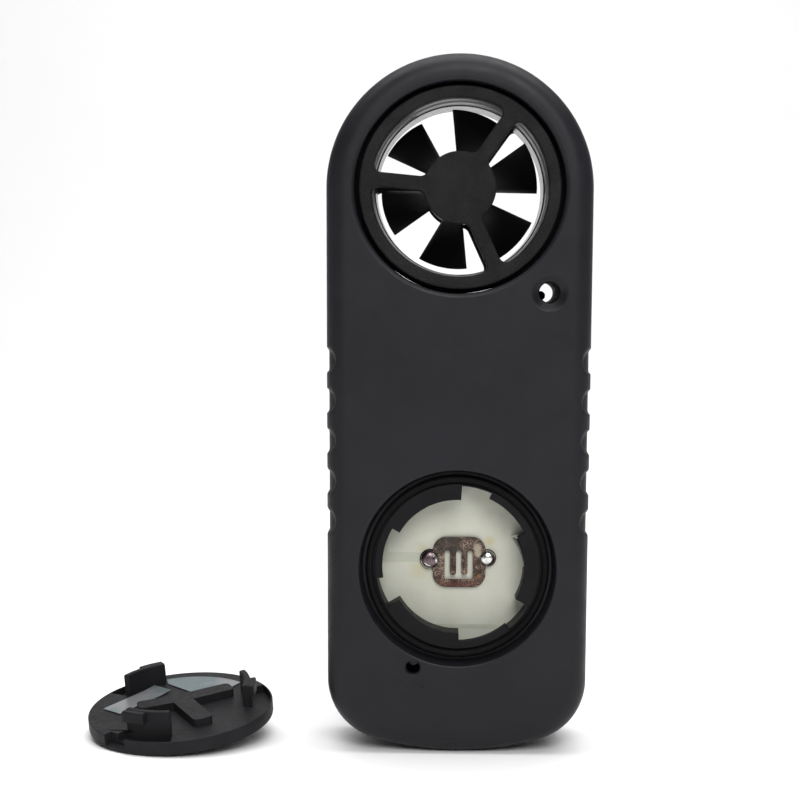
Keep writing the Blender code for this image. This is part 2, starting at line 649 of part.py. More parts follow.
def make_cover():
    lean, roll = math.radians(COVER_LEAN), math.radians(COVER_ROLL)
    turn = Matrix.Rotation(roll, 4, "Y") @ Matrix.Rotation(lean, 4, "X")
    axis = turn @ Vector((0, 0, 1))
    height = -HALF_LENGTH + COVER_RADIUS * math.sqrt(1 - axis.z ** 2)
    rest = bpy.data.objects.new("cover_rest", None)
    bpy.context.scene.collection.objects.link(rest)
    rest.matrix_world = Matrix.Translation(Vector((*COVER_CENTRE, height)) * MM) @ turn

    top = COVER_THICKNESS
    cover = loft("battery_cover", [[(x, y, z) for x, y in circle(radius, 48)] for radius, z in
                                   ((COVER_RADIUS - 0.5, 0.0), (COVER_RADIUS, 0.35), (COVER_RADIUS, top))])
    low, high = HOOK_WALL
    pieces = []
    for angle in HOOK_ANGLES:
        start, end = angle - HOOK_SPAN / 2, angle + HOOK_SPAN / 2
        wall = tower("hook", sector(low, high, start, end, steps=8), top - 0.6, top + HOOK_HEIGHT)
        barb = tower("barb", sector(high - 0.4, BARB_RADIUS, start + 0.5, start + HOOK_SPAN / 2, steps=5),
                     top + BARB_HEIGHTS[0], top + BARB_HEIGHTS[1])
        pieces += [wall, barb]
    pieces.append(tower("star", star_outline(), top - 0.6, top + PRESS_ARM_HEIGHT))
    join(cover, *pieces)
    for angle in HOOK_ANGLES:
        foot = sector(high + 0.06, FOOT_RADIUS, angle - HOOK_SPAN / 2 - 1, angle + HOOK_SPAN / 2 + 1, steps=8)
        cut(cover, tower("foot", foot, top - FOOT_DEPTH, top + 1.2))
    pry = [polar(math.hypot(x, y), PRY_ANGLE + math.degrees(math.atan2(y, x)))
           for x, y in ((PRY_RADIUS, -PRY_HALF_WIDTH), (16.0, -PRY_HALF_WIDTH),
                        (16.0, PRY_HALF_WIDTH), (PRY_RADIUS, PRY_HALF_WIDTH))]
    coin = [(-6.5, -0.9), (6.5, -0.9), (6.5, 0.9), (-6.5, 0.9)]
    cut(cover, tower("pry", pry, 0.5, top + 1), tower("coin", coin, -1, 0.9))
    finish(cover, "cover_black", parent=rest)

    sheet = (top + 0.1, top + 0.1 + LABEL_THICKNESS)
    round_outline = arc((0, 0), 11.9, 44, 108.5, 12) + [polar(9.9, 109.5), (1.5, 4.7), (7.4, 6.6)]
    finish(tower("cover_label_round", round_outline, *sheet), "label_silver", parent=rest)
    centre, half_length, half_width, angle = (-7.3, 2.95), 5.4, 1.95, 51.0
    corners = [(half_length, -half_width), (half_length, half_width),
               (-half_length, half_width), (-half_length, -half_width)]
    long_outline = [polar(math.hypot(x, y), angle + math.degrees(math.atan2(y, x)), centre) for x, y in corners]
    finish(tower("cover_label_long", long_outline, *sheet), "label_silver", parent=rest)


def main():
    for item in list(bpy.data.objects):
        bpy.data.objects.remove(item)
    make_rear_case()
    make_front_case()
    make_fascia()
    make_guard("vane_guard_rear", rear=True)
    make_guard("vane_guard_front", rear=False)
    make_barrel()
    make_impeller()
    make_bearings()
    make_hall_sensor()
    make_seal()
    make_contacts()
    make_unit_switch()
    make_board()
    make_display()
    make_keys()
    make_screws()
    make_cover()


main()
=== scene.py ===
"""Looks of a pocket weather meter seen from behind, with its battery cover lying beside it.

Shapes are modelled in millimetres in the part's own frame and brought to metres by place(). Angles on the
rear face are counted from +X towards +Z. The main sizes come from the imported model's own boxes.
"""

import json
import math

import bmesh
import bpy
from mathutils import Matrix, Vector


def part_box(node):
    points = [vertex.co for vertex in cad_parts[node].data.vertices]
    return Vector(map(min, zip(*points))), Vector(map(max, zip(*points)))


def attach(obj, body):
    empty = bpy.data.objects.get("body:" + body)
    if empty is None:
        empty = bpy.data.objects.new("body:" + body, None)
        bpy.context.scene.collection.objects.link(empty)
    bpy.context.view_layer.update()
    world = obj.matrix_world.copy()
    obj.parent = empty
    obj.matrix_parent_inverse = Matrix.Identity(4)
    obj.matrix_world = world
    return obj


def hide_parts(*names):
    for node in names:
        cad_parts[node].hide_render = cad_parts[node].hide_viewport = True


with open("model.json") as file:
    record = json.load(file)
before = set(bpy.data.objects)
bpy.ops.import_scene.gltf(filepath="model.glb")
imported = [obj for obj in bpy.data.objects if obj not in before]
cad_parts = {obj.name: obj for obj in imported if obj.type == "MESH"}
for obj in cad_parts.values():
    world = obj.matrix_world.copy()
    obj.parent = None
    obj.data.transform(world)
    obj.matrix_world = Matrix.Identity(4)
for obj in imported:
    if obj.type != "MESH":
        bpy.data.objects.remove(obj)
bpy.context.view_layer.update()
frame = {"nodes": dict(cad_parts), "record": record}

MM = 0.001
GAP = 0.3
WELD_DISTANCE = 0.002


def span(node):
    """Lowest and highest corner of a CAD node, in millimetres."""
    low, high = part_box(node)
    return Vector(low) / MM, Vector(high) / MM


def middle(node):
    low, high = span(node)
    return (low + high) / 2


# ---------------------------------------------------------------- sizes

REAR_HIGH = span("rear_case")[1]
CASE_DEPTH = span("front_case")[1].y
PARTING_Y = (REAR_HIGH.y + span("front_case")[0].y) / 2
HALF_LENGTH = REAR_HIGH.z
TOP_RADIUS = REAR_HIGH.x
LOWER_HALF_WIDTH = 19.55
CORNER_RADIUS = 9.5
BASE_RADIUS = 45.0
EDGE_RADIUS = 3.0
CORNER_X = LOWER_HALF_WIDTH - CORNER_RADIUS
BASE_CENTRE_Z = BASE_RADIUS - HALF_LENGTH
CORNER_Z = BASE_CENTRE_Z - math.sqrt((BASE_RADIUS - CORNER_RADIUS) ** 2 - CORNER_X ** 2)
BASE_HALF_ANGLE = math.degrees(math.asin(CORNER_X / (BASE_RADIUS - CORNER_RADIUS)))

GRIP_COUNT = 5
GRIP_TOP_Z = 6.7
GRIP_PITCH = 6.06
GRIP_HALF_LENGTH = 1.95
GRIP_DEPTH = 0.36
GRIP_RAMP = 0.5

VANE = (0.0, middle("vane_barrel").z)
VANE_HOLE_RADIUS = 15.7
GUARD_RADIUS = span("vane_guard_rear")[1].x
GUARD_OPENING = 13.2
GUARD_HUB_RADIUS = 5.4
GUARD_THICKNESS = 2.0
GUARD_SPOKE_ANGLES = (54.5, 174.5, 294.5)
GUARD_SPOKE_WIDTH = 2.2
GUARD_CORNER = 1.1
BLADE_COUNT = 6
BLADE_PHASE = 17.3
BLADE_TIP_RADIUS = 12.0
BLADE_ROOT_RADIUS = 4.7
BLADE_SPAN = -36.5
BLADE_THICKNESS = 0.8
BLADE_Y = (5.7, 12.3)

BAY = (0.0, middle("battery_seal_ring").z)
BAY_MOUTH_RADIUS = 14.75
BAY_RADIUS = 12.25
BAY_SEAT_Y = 2.3
BAY_GROOVE_Y = 2.95
BAY_FLOOR_Y = 7.3
LUG_RADIUS = 10.1
LEDGE_RADIUS = 11.35
LUG_SPANS = ((87.0, 150.0), (210.5, 271.5), (331.0, 387.0))
LUG_END_Y = 6.2
LEDGE_SPANS = ((149.5, 189.0), (271.0, 310.0), (26.5, 65.0))
LEDGE_END_Y = 3.5
SEAL_RADIUS = 13.3
SEAL_SECTION = 0.55

LANYARD = (13.4, 17.0)
LANYARD_RADIUS = 1.5
SWITCH = (middle("unit_switch_plunger").x, middle("unit_switch_plunger").z)
SWITCH_HOLE_RADIUS = 1.06
CASE_SCREWS = [(middle(f"case_screw_{i}").x, middle(f"case_screw_{i}").z) for i in (1, 2, 3, 4)]
DISPLAY = (0.0, middle("display_window").z)
KEY_X = middle("key_right").x
KEY_Z = middle("key_right").z
FASCIA_TOP_Z = span("front_fascia")[1].z
CONTACT = (middle("battery_contact_negative").x, BAY[1])
SOLDER_OFFSET = (4.5, 0.6)
BOARD_FACE_Y = span("main_board")[0].y

COVER_RADIUS = 14.4
COVER_THICKNESS = 2.2
COVER_CENTRE = (-42.96, 10.45)
COVER_LEAN = 8.96
COVER_ROLL = -3.67
HOOK_ANGLES = (130.0, 251.0, 9.0)
HOOK_SPAN = 39.0
HOOK_HEIGHT = 3.5
HOOK_WALL = (10.2, 11.15)
BARB_RADIUS = 12.05
BARB_HEIGHTS = (1.75, 3.4)
FOOT_RADIUS = 14.15
FOOT_DEPTH = 1.2
PRESS_ARMS = ((28.0, 8.6), (199.0, 6.7), (299.0, 10.0))
PRESS_ARM_WIDTH = 3.1
PRESS_ARM_HEIGHT = 1.3
PRESS_ARM_CORNER = 0.8
PRY_ANGLE = 233.0
PRY_HALF_WIDTH = 2.1
PRY_RADIUS = 12.9


# ---------------------------------------------------------------- outlines

def polar(radius, angle, centre=(0.0, 0.0)):
    turn = math.radians(angle)
    return (centre[0] + radius * math.cos(turn), centre[1] + radius * math.sin(turn))


def arc(centre, radius, start, end, steps):
    return [polar(radius, start + (end - start) * i / steps, centre) for i in range(steps + 1)]


def circle(radius, steps, centre=(0.0, 0.0)):
    return arc(centre, radius, 0.0, 360.0 - 360.0 / steps, steps - 1)


def line(start, end, steps):
    """Points strictly between two points."""
    return [tuple(a + (b - a) * i / steps for a, b in zip(start, end)) for i in range(1, steps)]


def rectangle(width, height, centre=(0.0, 0.0), corner=0.0, steps=8):
    x, z = width / 2 - corner, height / 2 - corner
    signs = ((1, 1), (-1, 1), (-1, -1), (1, -1))
    if corner == 0.0:
        return [(centre[0] + a * x, centre[1] + b * z) for a, b in signs]
    points = []
    for turn, (a, b) in enumerate(signs):
        points += arc((centre[0] + a * x, centre[1] + b * z), corner, 90 * turn, 90 * turn + 90, steps)
    return points


def sector(inner, outer, start, end, centre=(0.0, 0.0), steps=16, inset=0.0):
    """A ring sector, drawn smaller by inset on all its sides."""
    far = math.degrees(inset / outer)
    near = math.degrees(inset / inner)
    return (arc(centre, outer - inset, start + far, end - far, steps)
            + arc(centre, inner + inset, end - near, start + near, steps))


def case_outline(inset=0.0, arc_steps=96, corner_steps=24, side_steps=230):
    """The case seen from behind, moved inwards by inset, counter-clockwise."""
    side = 270.0 - BASE_HALF_ANGLE
    left_top, left_low = (inset - TOP_RADIUS, VANE[1]), (inset - LOWER_HALF_WIDTH, CORNER_Z)
    right_low, right_top = (-left_low[0], left_low[1]), (-left_top[0], left_top[1])
    points = arc(VANE, TOP_RADIUS - inset, 0, 180, arc_steps)
    points += line(left_top, left_low, side_steps)
    points += arc((-CORNER_X, CORNER_Z), CORNER_RADIUS - inset, 180, side, corner_steps)
    points += arc((0.0, BASE_CENTRE_Z), BASE_RADIUS - inset, side, 540 - side, corner_steps)[1:-1]
    points += arc((CORNER_X, CORNER_Z), CORNER_RADIUS - inset, 540 - side, 360, corner_steps)
    points += line(right_low, right_top, side_steps)
    return points


def coarse_outline(inset):
    return case_outline(inset, 32, 8, 1)


def guard_window(start, end, grow=0.0):
    """One opening between two spokes of a vane guard, made wider by grow on all its sides."""
    side = GUARD_SPOKE_WIDTH / 2 + GUARD_CORNER
    corner = GUARD_CORNER + grow
    far, near = GUARD_OPENING - GUARD_CORNER, GUARD_HUB_RADIUS + GUARD_CORNER
    far_turn = math.degrees(math.asin(side / far))
    near_turn = math.degrees(math.asin(side / near))
    points = arc((0, 0), GUARD_OPENING + grow, start + far_turn, end - far_turn, 40)
    points += arc(polar(far, end - far_turn), corner, end - far_turn, end + 90, 8)[1:]
    points += arc(polar(near, end - near_turn), corner, end + 90, end - near_turn + 180, 8)
    points += arc((0, 0), GUARD_HUB_RADIUS - grow, end - near_turn, start + near_turn, 24)[1:-1]
    points += arc(polar(near, start + near_turn), corner, start + near_turn + 180, start + 270, 8)
    points += arc(polar(far, start + far_turn), corner, start - 90, start + far_turn, 8)[:-1]
    return [(x + VANE[0], z + VANE[1]) for x, z in points]


# ---------------------------------------------------------------- solids

def solid(name, vertices, faces):
    mesh = bpy.data.meshes.new(name)
    mesh.from_pydata(vertices, [], faces)
    shape = bmesh.new()
    shape.from_mesh(mesh)
    bmesh.ops.recalc_face_normals(shape, faces=shape.faces)
    shape.to_mesh(mesh)
    shape.free()
    item = bpy.data.objects.new(name, mesh)
    bpy.context.scene.collection.objects.link(item)
    return item


def loft(name, rings):
    """A closed solid through rings of equally many points, capped at both ends."""
    count = len(rings[0])
    vertices = [point for ring in rings for point in ring]
    faces = [tuple(range(count)), tuple(range(len(vertices) - count, len(vertices)))]
    for level in range(len(rings) - 1):
        for i in range(count):
            j = (i + 1) % count
            low, high = level * count, (level + 1) * count
            faces.append((low + i, low + j, high + j, high + i))
    return solid(name, vertices, faces)


def prism(name, outline, y0, y1):
    """An outline in X and Z, extruded along Y."""
    return loft(name, [[(x, y, z) for x, z in outline] for y in (y0, y1)])


def tower(name, outline, z0, z1):
    """An outline in X and Y, extruded along Z."""
    return loft(name, [[(x, y, z) for x, y in outline] for z in (z0, z1)])


def fillet(y, inward, radius, steps=6):
    """(y, inset) pairs from a face at y round a quarter circle to a side that runs inward."""
    turns = [math.radians(90.0 * i / steps) for i in range(steps + 1)]
    return [(y + inward * radius * (1 - math.cos(t)), radius * (1 - math.sin(t))) for t in turns]


def rounded_prism(name, outline, y0, y1, radius, far_radius=0.0):
    """outline(inset) extruded along Y with a rounded edge at y0, and at y1 with far_radius."""
    inward = 1.0 if y1 > y0 else -1.0
    steps = fillet(y0, inward, radius)
    steps += fillet(y1, -inward, far_radius)[::-1] if far_radius else [(y1, 0.0)]
    return loft(name, [[(x, y, z) for x, z in outline(inset)] for y, inset in steps])


def turned(name, profile, centre=(0.0, 0.0), steps=128):
    """A closed (radius, y) profile turned about an axis along Y; radius 0 lies on the axis."""
    vertices, rows = [], []
    for radius, y in profile:
        if radius == 0.0:
            rows.append([len(vertices)] * steps)
            vertices.append((centre[0], y, centre[1]))
        else:
            rows.append(list(range(len(vertices), len(vertices) + steps)))
            vertices += [(x, y, z) for x, z in circle(radius, steps, centre)]
    faces = []
    for a, b in zip(rows, rows[1:] + rows[:1]):
        for i in range(steps):
            j = (i + 1) % steps
            corners = list(dict.fromkeys((a[i], a[j], b[j], b[i])))
            if len(corners) > 2:
                faces.append(tuple(corners))
    return solid(name, vertices, faces)


def rod(name, radius, y0, y1, centre=(0.0, 0.0), steps=64):
    return prism(name, circle(radius, steps, centre), y0, y1)


def weld(mesh):
    """Close the hair-thin slits that a Boolean can leave between vertices that should meet."""
    shape = bmesh.new()
    shape.from_mesh(mesh)
    bmesh.ops.remove_doubles(shape, verts=shape.verts, dist=WELD_DISTANCE)
    bmesh.ops.dissolve_degenerate(shape, edges=shape.edges, dist=WELD_DISTANCE)
    bmesh.ops.holes_fill(shape, edges=[edge for edge in shape.edges if edge.is_boundary], sides=8)
    shape.to_mesh(mesh)
    shape.free()


def combine(body, operation, tools):
    """Apply Boolean modifiers to body, then remove the tools."""
    for tool in tools:
        step = body.modifiers.new(operation, "BOOLEAN")
        step.operation = operation
        step.solver = "EXACT"
        step.object = tool
    bpy.context.view_layer.update()
    depsgraph = bpy.context.evaluated_depsgraph_get()
    result = bpy.data.meshes.new_from_object(body.evaluated_get(depsgraph))
    body.modifiers.clear()
    body.data = result
    for tool in tools:
        bpy.data.objects.remove(tool)
    weld(result)
    return body


def cut(body, *tools):
    return combine(body, "DIFFERENCE", tools)


def join(body, *tools):
    return combine(body, "UNION", tools)


# ---------------------------------------------------------------- materials

def node_of(tree, kind, inputs=None, **settings):
    node = tree.nodes.new(kind)
    for key, value in settings.items():
        setattr(node, key, value)
    for key, value in (inputs or {}).items():
        node.inputs[key].default_value = value
    return node


def noise(tree, coordinates, size_mm, detail=3.0, roughness=0.5):
    """Noise whose features are about size_mm across."""
    node = node_of(tree, "ShaderNodeTexNoise",
                   {"Scale": 1.0 / size_mm, "Detail": detail, "Roughness": roughness})
    tree.links.new(coordinates, node.inputs["Vector"])
    return node.outputs["Fac"]


def remap(tree, value, low, high, to_low, to_high, smooth=True):
    node = node_of(tree, "ShaderNodeMapRange",
                   {"From Min": low, "From Max": high, "To Min": to_low, "To Max": to_high},
                   interpolation_type="SMOOTHSTEP" if smooth else "LINEAR")
    tree.links.new(value, node.inputs["Value"])
    return node.outputs["Result"]


def blend_colours(tree, factor, first, second):
    node = node_of(tree, "ShaderNodeMix", data_type="RGBA")
    tree.links.new(factor, node.inputs["Factor"])
    for socket, value in (("A", first), ("B", second)):
        target = [item for item in node.inputs if item.name == socket and item.type == "RGBA"][0]
        if isinstance(value, tuple):
            target.default_value = (*value, 1.0)
        else:
            tree.links.new(value, target)
    return [item for item in node.outputs if item.type == "RGBA"][0]


def distance_from(tree, coordinates, point):
    node = node_of(tree, "ShaderNodeVectorMath", operation="DISTANCE")
    node.inputs[1].default_value = point
    tree.links.new(coordinates, node.inputs[0])
    return node.outputs["Value"]


def start_material(name):
    """A new material with its shader, and object coordinates counted in millimetres."""
    result = bpy.data.materials.new(name)
    result.use_nodes = True
    tree = result.node_tree
    shader = tree.nodes["Principled BSDF"]
    place_node = tree.nodes.new("ShaderNodeTexCoord")
    scale = node_of(tree, "ShaderNodeVectorMath", operation="SCALE")
    scale.inputs["Scale"].default_value = 1.0 / MM
    tree.links.new(place_node.outputs["Object"], scale.inputs[0])
    return result, tree, shader, scale.outputs["Vector"]


def add_bump(tree, shader, layers):
    """Chain bumps: each layer is (height output, depth in millimetres)."""
    normal = None
    for height, depth in layers:
        node = node_of(tree, "ShaderNodeBump", {"Strength": 1.0, "Distance": depth * MM})
        tree.links.new(height, node.inputs["Height"])
        if normal is not None:
            tree.links.new(normal, node.inputs["Normal"])
        normal = node.outputs["Normal"]
    tree.links.new(normal, shader.inputs["Normal"])


def surface(name, colour, roughness, specular=0.5, metallic=0.0, grain=0.3, depth=0.004,
            patch=9.0, variation=0.15, spread=0.08, coat=0.0, sheen=0.0, transmission=0.0):
    """A moulded or metal surface: fine grain, broad uneven tone, and rubbed, shinier patches."""
    result, tree, shader, coordinates = start_material(name)
    fine = noise(tree, coordinates, grain, 4.0, 0.6)
    broad = noise(tree, coordinates, patch, 3.0, 0.55)
    rubbed = noise(tree, coordinates, patch / 5, 5.0, 0.65)
    dark = tuple(channel * (1 - variation) for channel in colour)
    light = tuple(channel * (1 + variation) for channel in colour)
    toned = blend_colours(tree, remap(tree, broad, 0.35, 0.65, 0.0, 1.0), dark, light)
    specks = remap(tree, fine, 0.45, 0.62, 0.0, 0.35)
    tree.links.new(blend_colours(tree, specks, toned, light), shader.inputs["Base Color"])
    tree.links.new(remap(tree, rubbed, 0.35, 0.7, roughness + spread, roughness - spread),
                   shader.inputs["Roughness"])
    add_bump(tree, shader, [(fine, depth), (rubbed, depth * 1.5)])
    shader.inputs["Metallic"].default_value = metallic
    shader.inputs["Specular IOR Level"].default_value = specular
    shader.inputs["Coat Weight"].default_value = coat
    shader.inputs["Coat Roughness"].default_value = 0.15
    shader.inputs["Sheen Weight"].default_value = sheen
    shader.inputs["Transmission Weight"].default_value = transmission
    return result


def board_material():
    """Creamy white solder resist with faint weave and three yellowed flux spots."""
    colour, aged = (0.53, 0.53, 0.44), (0.48, 0.42, 0.20)
    result, tree, shader, coordinates = start_material("board_white")
    fine = noise(tree, coordinates, 0.25, 3.0)
    broad = noise(tree, coordinates, 5.0, 4.0, 0.6)
    toned = blend_colours(tree, remap(tree, broad, 0.3, 0.7, 0.0, 1.0), colour, (0.575, 0.58, 0.50))
    for x, z, radius in ((-5.8, -25.7, 1.5), (-5.4, -22.2, 0.8), (5.1, -21.2, 0.9)):
        away = distance_from(tree, coordinates, (x, BOARD_FACE_Y, z))
        spot = remap(tree, away, radius * 0.2, radius * 1.3, 0.75, 0.0)
        patchy = node_of(tree, "ShaderNodeMath", operation="MULTIPLY")
        tree.links.new(spot, patchy.inputs[0])
        tree.links.new(remap(tree, broad, 0.3, 0.6, 0.4, 1.0), patchy.inputs[1])
        toned = blend_colours(tree, patchy.outputs["Value"], toned, aged)
    tree.links.new(toned, shader.inputs["Base Color"])
    tree.links.new(remap(tree, broad, 0.3, 0.7, 0.5, 0.36), shader.inputs["Roughness"])
    add_bump(tree, shader, [(fine, 0.004), (broad, 0.03)])
    shader.inputs["Specular IOR Level"].default_value = 0.4
    return result


def tarnished_tin():
    """A stamped contact whose tin has browned: dark pits, a bare patch and rusty stains."""
    result, tree, shader, coordinates = start_material("tinned_brown")
    pits = noise(tree, coordinates, 0.22, 5.0, 0.7)
    stains = noise(tree, coordinates, 1.6, 4.0, 0.65)
    toned = blend_colours(tree, remap(tree, stains, 0.35, 0.68, 0.0, 1.0),
                          (0.075, 0.045, 0.038), (0.34, 0.25, 0.19))
    depth = node_of(tree, "ShaderNodeSeparateXYZ")
    tree.links.new(coordinates, depth.inputs["Vector"])
    rust = remap(tree, depth.outputs["Z"], -27.7, -26.9, 0.6, 0.0)
    toned = blend_colours(tree, rust, toned, (0.17, 0.065, 0.045))
    toned = blend_colours(tree, remap(tree, pits, 0.46, 0.55, 0.0, 0.93), toned, (0.014, 0.011, 0.010))
    y = span("battery_contact_negative")[1].y
    # The patches: bare tin, an orange spot, and a wider darker area towards the upper left.
    bare, orange, upper_dark = (0.42, 0.36, 0.28), (0.36, 0.20, 0.09), (0.06, 0.055, 0.045)
    for x, z, radius, amount, tint in ((3.15, -22.2, 0.9, 0.8, bare), (3.25, -23.1, 0.8, 0.8, bare),
                                       (3.4, -26.6, 0.6, 0.5, orange), (-1.2, -21.6, 2.6, 0.5, upper_dark)):
        away = distance_from(tree, coordinates, (x, y, z))
        near = remap(tree, away, radius * 0.45, radius, amount, 0.0)
        toned = blend_colours(tree, near, toned, tint)
    tree.links.new(toned, shader.inputs["Base Color"])
    tree.links.new(remap(tree, pits, 0.3, 0.7, 0.3, 0.6), shader.inputs["Roughness"])
    add_bump(tree, shader, [(pits, 0.03), (stains, 0.02)])
    shader.inputs["Metallic"].default_value = 0.75
    return result


def film_material():
    """A blank dark-silver film that shades from grey to blue along its length."""
    result, tree, shader, coordinates = start_material("label_silver")
    fine = noise(tree, coordinates, 0.4, 3.0)
    broad = noise(tree, coordinates, 7.0, 2.0)
    toned = blend_colours(tree, remap(tree, broad, 0.4, 0.6, 0.0, 1.0),
                          (0.10, 0.135, 0.145), (0.205, 0.21, 0.215))
    tree.links.new(toned, shader.inputs["Base Color"])
    tree.links.new(remap(tree, fine, 0.3, 0.7, 0.28, 0.4), shader.inputs["Roughness"])
    add_bump(tree, shader, [(fine, 0.003), (broad, 0.05)])
    shader.inputs["Metallic"].default_value = 0.35
    return result


def make_materials():
    plain = {
        "soft_black": dict(colour=(0.0098, 0.0096, 0.0125), roughness=0.44, specular=0.23, grain=0.12,
                           depth=0.006, patch=14.0, variation=0.12, spread=0.06),
        "textured_black": dict(colour=(0.0062, 0.0062, 0.0066), roughness=0.5, specular=0.18, grain=0.22,
                               depth=0.15, patch=6.0, variation=0.45, spread=0.06),
        "gloss_black": dict(colour=(0.012, 0.012, 0.013), roughness=0.22, specular=0.42, grain=0.8,
                            depth=0.001, patch=4.0, variation=0.1, spread=0.03),
        # A light grey for the gloss barrel's inner bands: a painted reflection of the bright backdrop.
        "barrel_painted_reflection": dict(colour=(0.16, 0.16, 0.165), roughness=0.35, specular=0.5, grain=0.8,
                            depth=0.001, patch=4.0, variation=0.1, spread=0.03),
        # A darker copy of the case finish for the bay's recess: painted shade.
        "bay_painted_shade": dict(colour=(0.0062, 0.0062, 0.0072), roughness=0.5, specular=0.13, grain=0.2,
                          depth=0.006, patch=5.0, variation=0.15, spread=0.06),
        "shadow_black": dict(colour=(0.002, 0.002, 0.0024), roughness=0.7, specular=0.06, grain=0.3,
                             depth=0.004, patch=4.0, variation=0.2, spread=0.05),
        "vane_black": dict(colour=(0.0025, 0.0025, 0.003), roughness=0.5, specular=0.15, grain=0.3,
                           depth=0.004, patch=4.0, variation=0.2, spread=0.05),
        "cover_black": dict(colour=(0.016, 0.016, 0.0175), roughness=0.5, specular=0.08, grain=0.18,
                            depth=0.006, patch=5.0, variation=0.12, spread=0.06),
        "seal_rubber": dict(colour=(0.0022, 0.0022, 0.0025), roughness=0.65, specular=0.12, grain=0.3,
                            depth=0.006, patch=3.0, variation=0.2, spread=0.08),
        "solder": dict(colour=(0.66, 0.65, 0.63), roughness=0.17, metallic=1.0, grain=0.5, depth=0.02,
                       patch=1.2, variation=0.25, spread=0.08),
        # A dark solder finish, used as a painted dark reflection on the solder joints.
        "solder_dark_reflection": dict(colour=(0.16, 0.12, 0.13), roughness=0.22, metallic=1.0, grain=0.5, depth=0.03,
                            patch=1.2, variation=0.35, spread=0.1),
        # A darker copy of steel for the part of the contact leaf that lies in shade: painted shade.
        "steel_painted_shade": dict(colour=(0.17, 0.17, 0.17), roughness=0.38, metallic=1.0, grain=0.25, depth=0.02,
                           patch=2.0, variation=0.3, spread=0.1),
        "board_trace": dict(colour=(0.475, 0.49, 0.40), roughness=0.42, specular=0.4, grain=0.25,
                            depth=0.004, patch=4.0, variation=0.06, spread=0.05),
        "steel": dict(colour=(0.52, 0.52, 0.51), roughness=0.26, metallic=1.0, grain=0.25, depth=0.004,
                      patch=3.0, variation=0.1, spread=0.08),
        "display_grey": dict(colour=(0.30, 0.33, 0.27), roughness=0.25, grain=0.3, depth=0.002,
                             patch=8.0, variation=0.06, spread=0.04),
        "milky": dict(colour=(0.78, 0.78, 0.75), roughness=0.4, grain=0.4, depth=0.003, patch=5.0,
                      variation=0.05, spread=0.05),
        "magnet": dict(colour=(0.10, 0.10, 0.11), roughness=0.4, metallic=0.6, grain=0.25, depth=0.008,
                       patch=2.0, variation=0.2, spread=0.1),
        "key_grey": dict(colour=(0.055, 0.058, 0.064), roughness=0.55, specular=0.35, grain=0.16,
                         depth=0.008, patch=4.0, variation=0.12, spread=0.06),
        "clear": dict(colour=(0.90, 0.92, 0.92), roughness=0.06, grain=0.6, depth=0.0006, patch=9.0,
                      variation=0.02, spread=0.03, transmission=0.92),
    }
    made = {name: surface(name + "_finish", **values) for name, values in plain.items()}
    made["board_white"] = board_material()
    made["tinned_brown"] = tarnished_tin()
    made["label_silver"] = film_material()
    return made


MATERIALS = make_materials()


def place(item, slot, body, *nodes, bevel=0.0, shared=None):
    """Bring a finished solid to metres, with its material, its body and the nodes it stands for."""
    item.data.transform(Matrix.Scale(MM, 4))
    if shared is not None:
        item.data.transform(shared)
    item.data.materials.clear()
    item.data.materials.append(MATERIALS[slot])
    item.data.shade_smooth()
    item.data.set_sharp_from_angle(angle=math.radians(32))
    if bevel:
        edge = item.modifiers.new("edge", "BEVEL")
        edge.width = bevel * MM
        edge.segments = 3
        edge.limit_method = "ANGLE"
        edge.angle_limit = math.radians(35)
        edge.harden_normals = False
    weighting = item.modifiers.new("weighting", "WEIGHTED_NORMAL")
    weighting.keep_sharp = True
    weighting.weight = 100
    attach(item, body)
    if nodes:
        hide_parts(*nodes)
    return item


def repaint(item, slot, test):
    """Give the faces whose centre in millimetres and normal pass the test another finish."""
    item.data.materials.append(MATERIALS[slot])
    index = len(item.data.materials) - 1
    for face in item.data.polygons:
        if test(face.center / MM, face.normal):
            face.material_index = index


def distance(point, centre):
    """How far a point is from an axis along Y through centre."""
    return math.hypot(point.x - centre[0], point.z - centre[1])


# ---------------------------------------------------------------- case halves

def grip_dent(z, along):
    """Depth of the finger grips at height z, along millimetres round the edge from the face."""
    depth = 0.0
    end = math.radians(30.0) * EDGE_RADIUS + GRIP_HALF_LENGTH
    for row in range(GRIP_COUNT):
        dz = abs(z - (GRIP_TOP_Z - row * GRIP_PITCH))
        reach = GRIP_HALF_LENGTH - (dz if along > end else math.hypot(dz, end - along))
        share = min(max(reach / GRIP_RAMP, 0.0), 1.0)
        depth = max(depth, GRIP_DEPTH * share * share * (3 - 2 * share))
    return depth


def case_ring(face, inward, turn, y, crisp=0.0):
    """One ring of a case half's skin: turn runs from 0 on the face to 90 on the side."""
    radians = math.radians(turn)
    inset = EDGE_RADIUS * (1 - math.sin(radians))
    along = radians * EDGE_RADIUS + max(0.0, y - EDGE_RADIUS)
    inner, outer = case_outline(inset + 1.0), case_outline(inset + crisp)
    ring = []
    for (x0, z0), (x1, z1) in zip(inner, outer):
        dent = grip_dent(z1, along) if abs(x1) > CORNER_X else 0.0
        side = dent * math.sin(radians)
        length = math.hypot(x1 - x0, z1 - z0)
        ring.append((x1 + (x0 - x1) / length * side, face + inward * (y + dent * math.cos(radians)),
                     z1 + (z0 - z1) / length * side))
    return ring


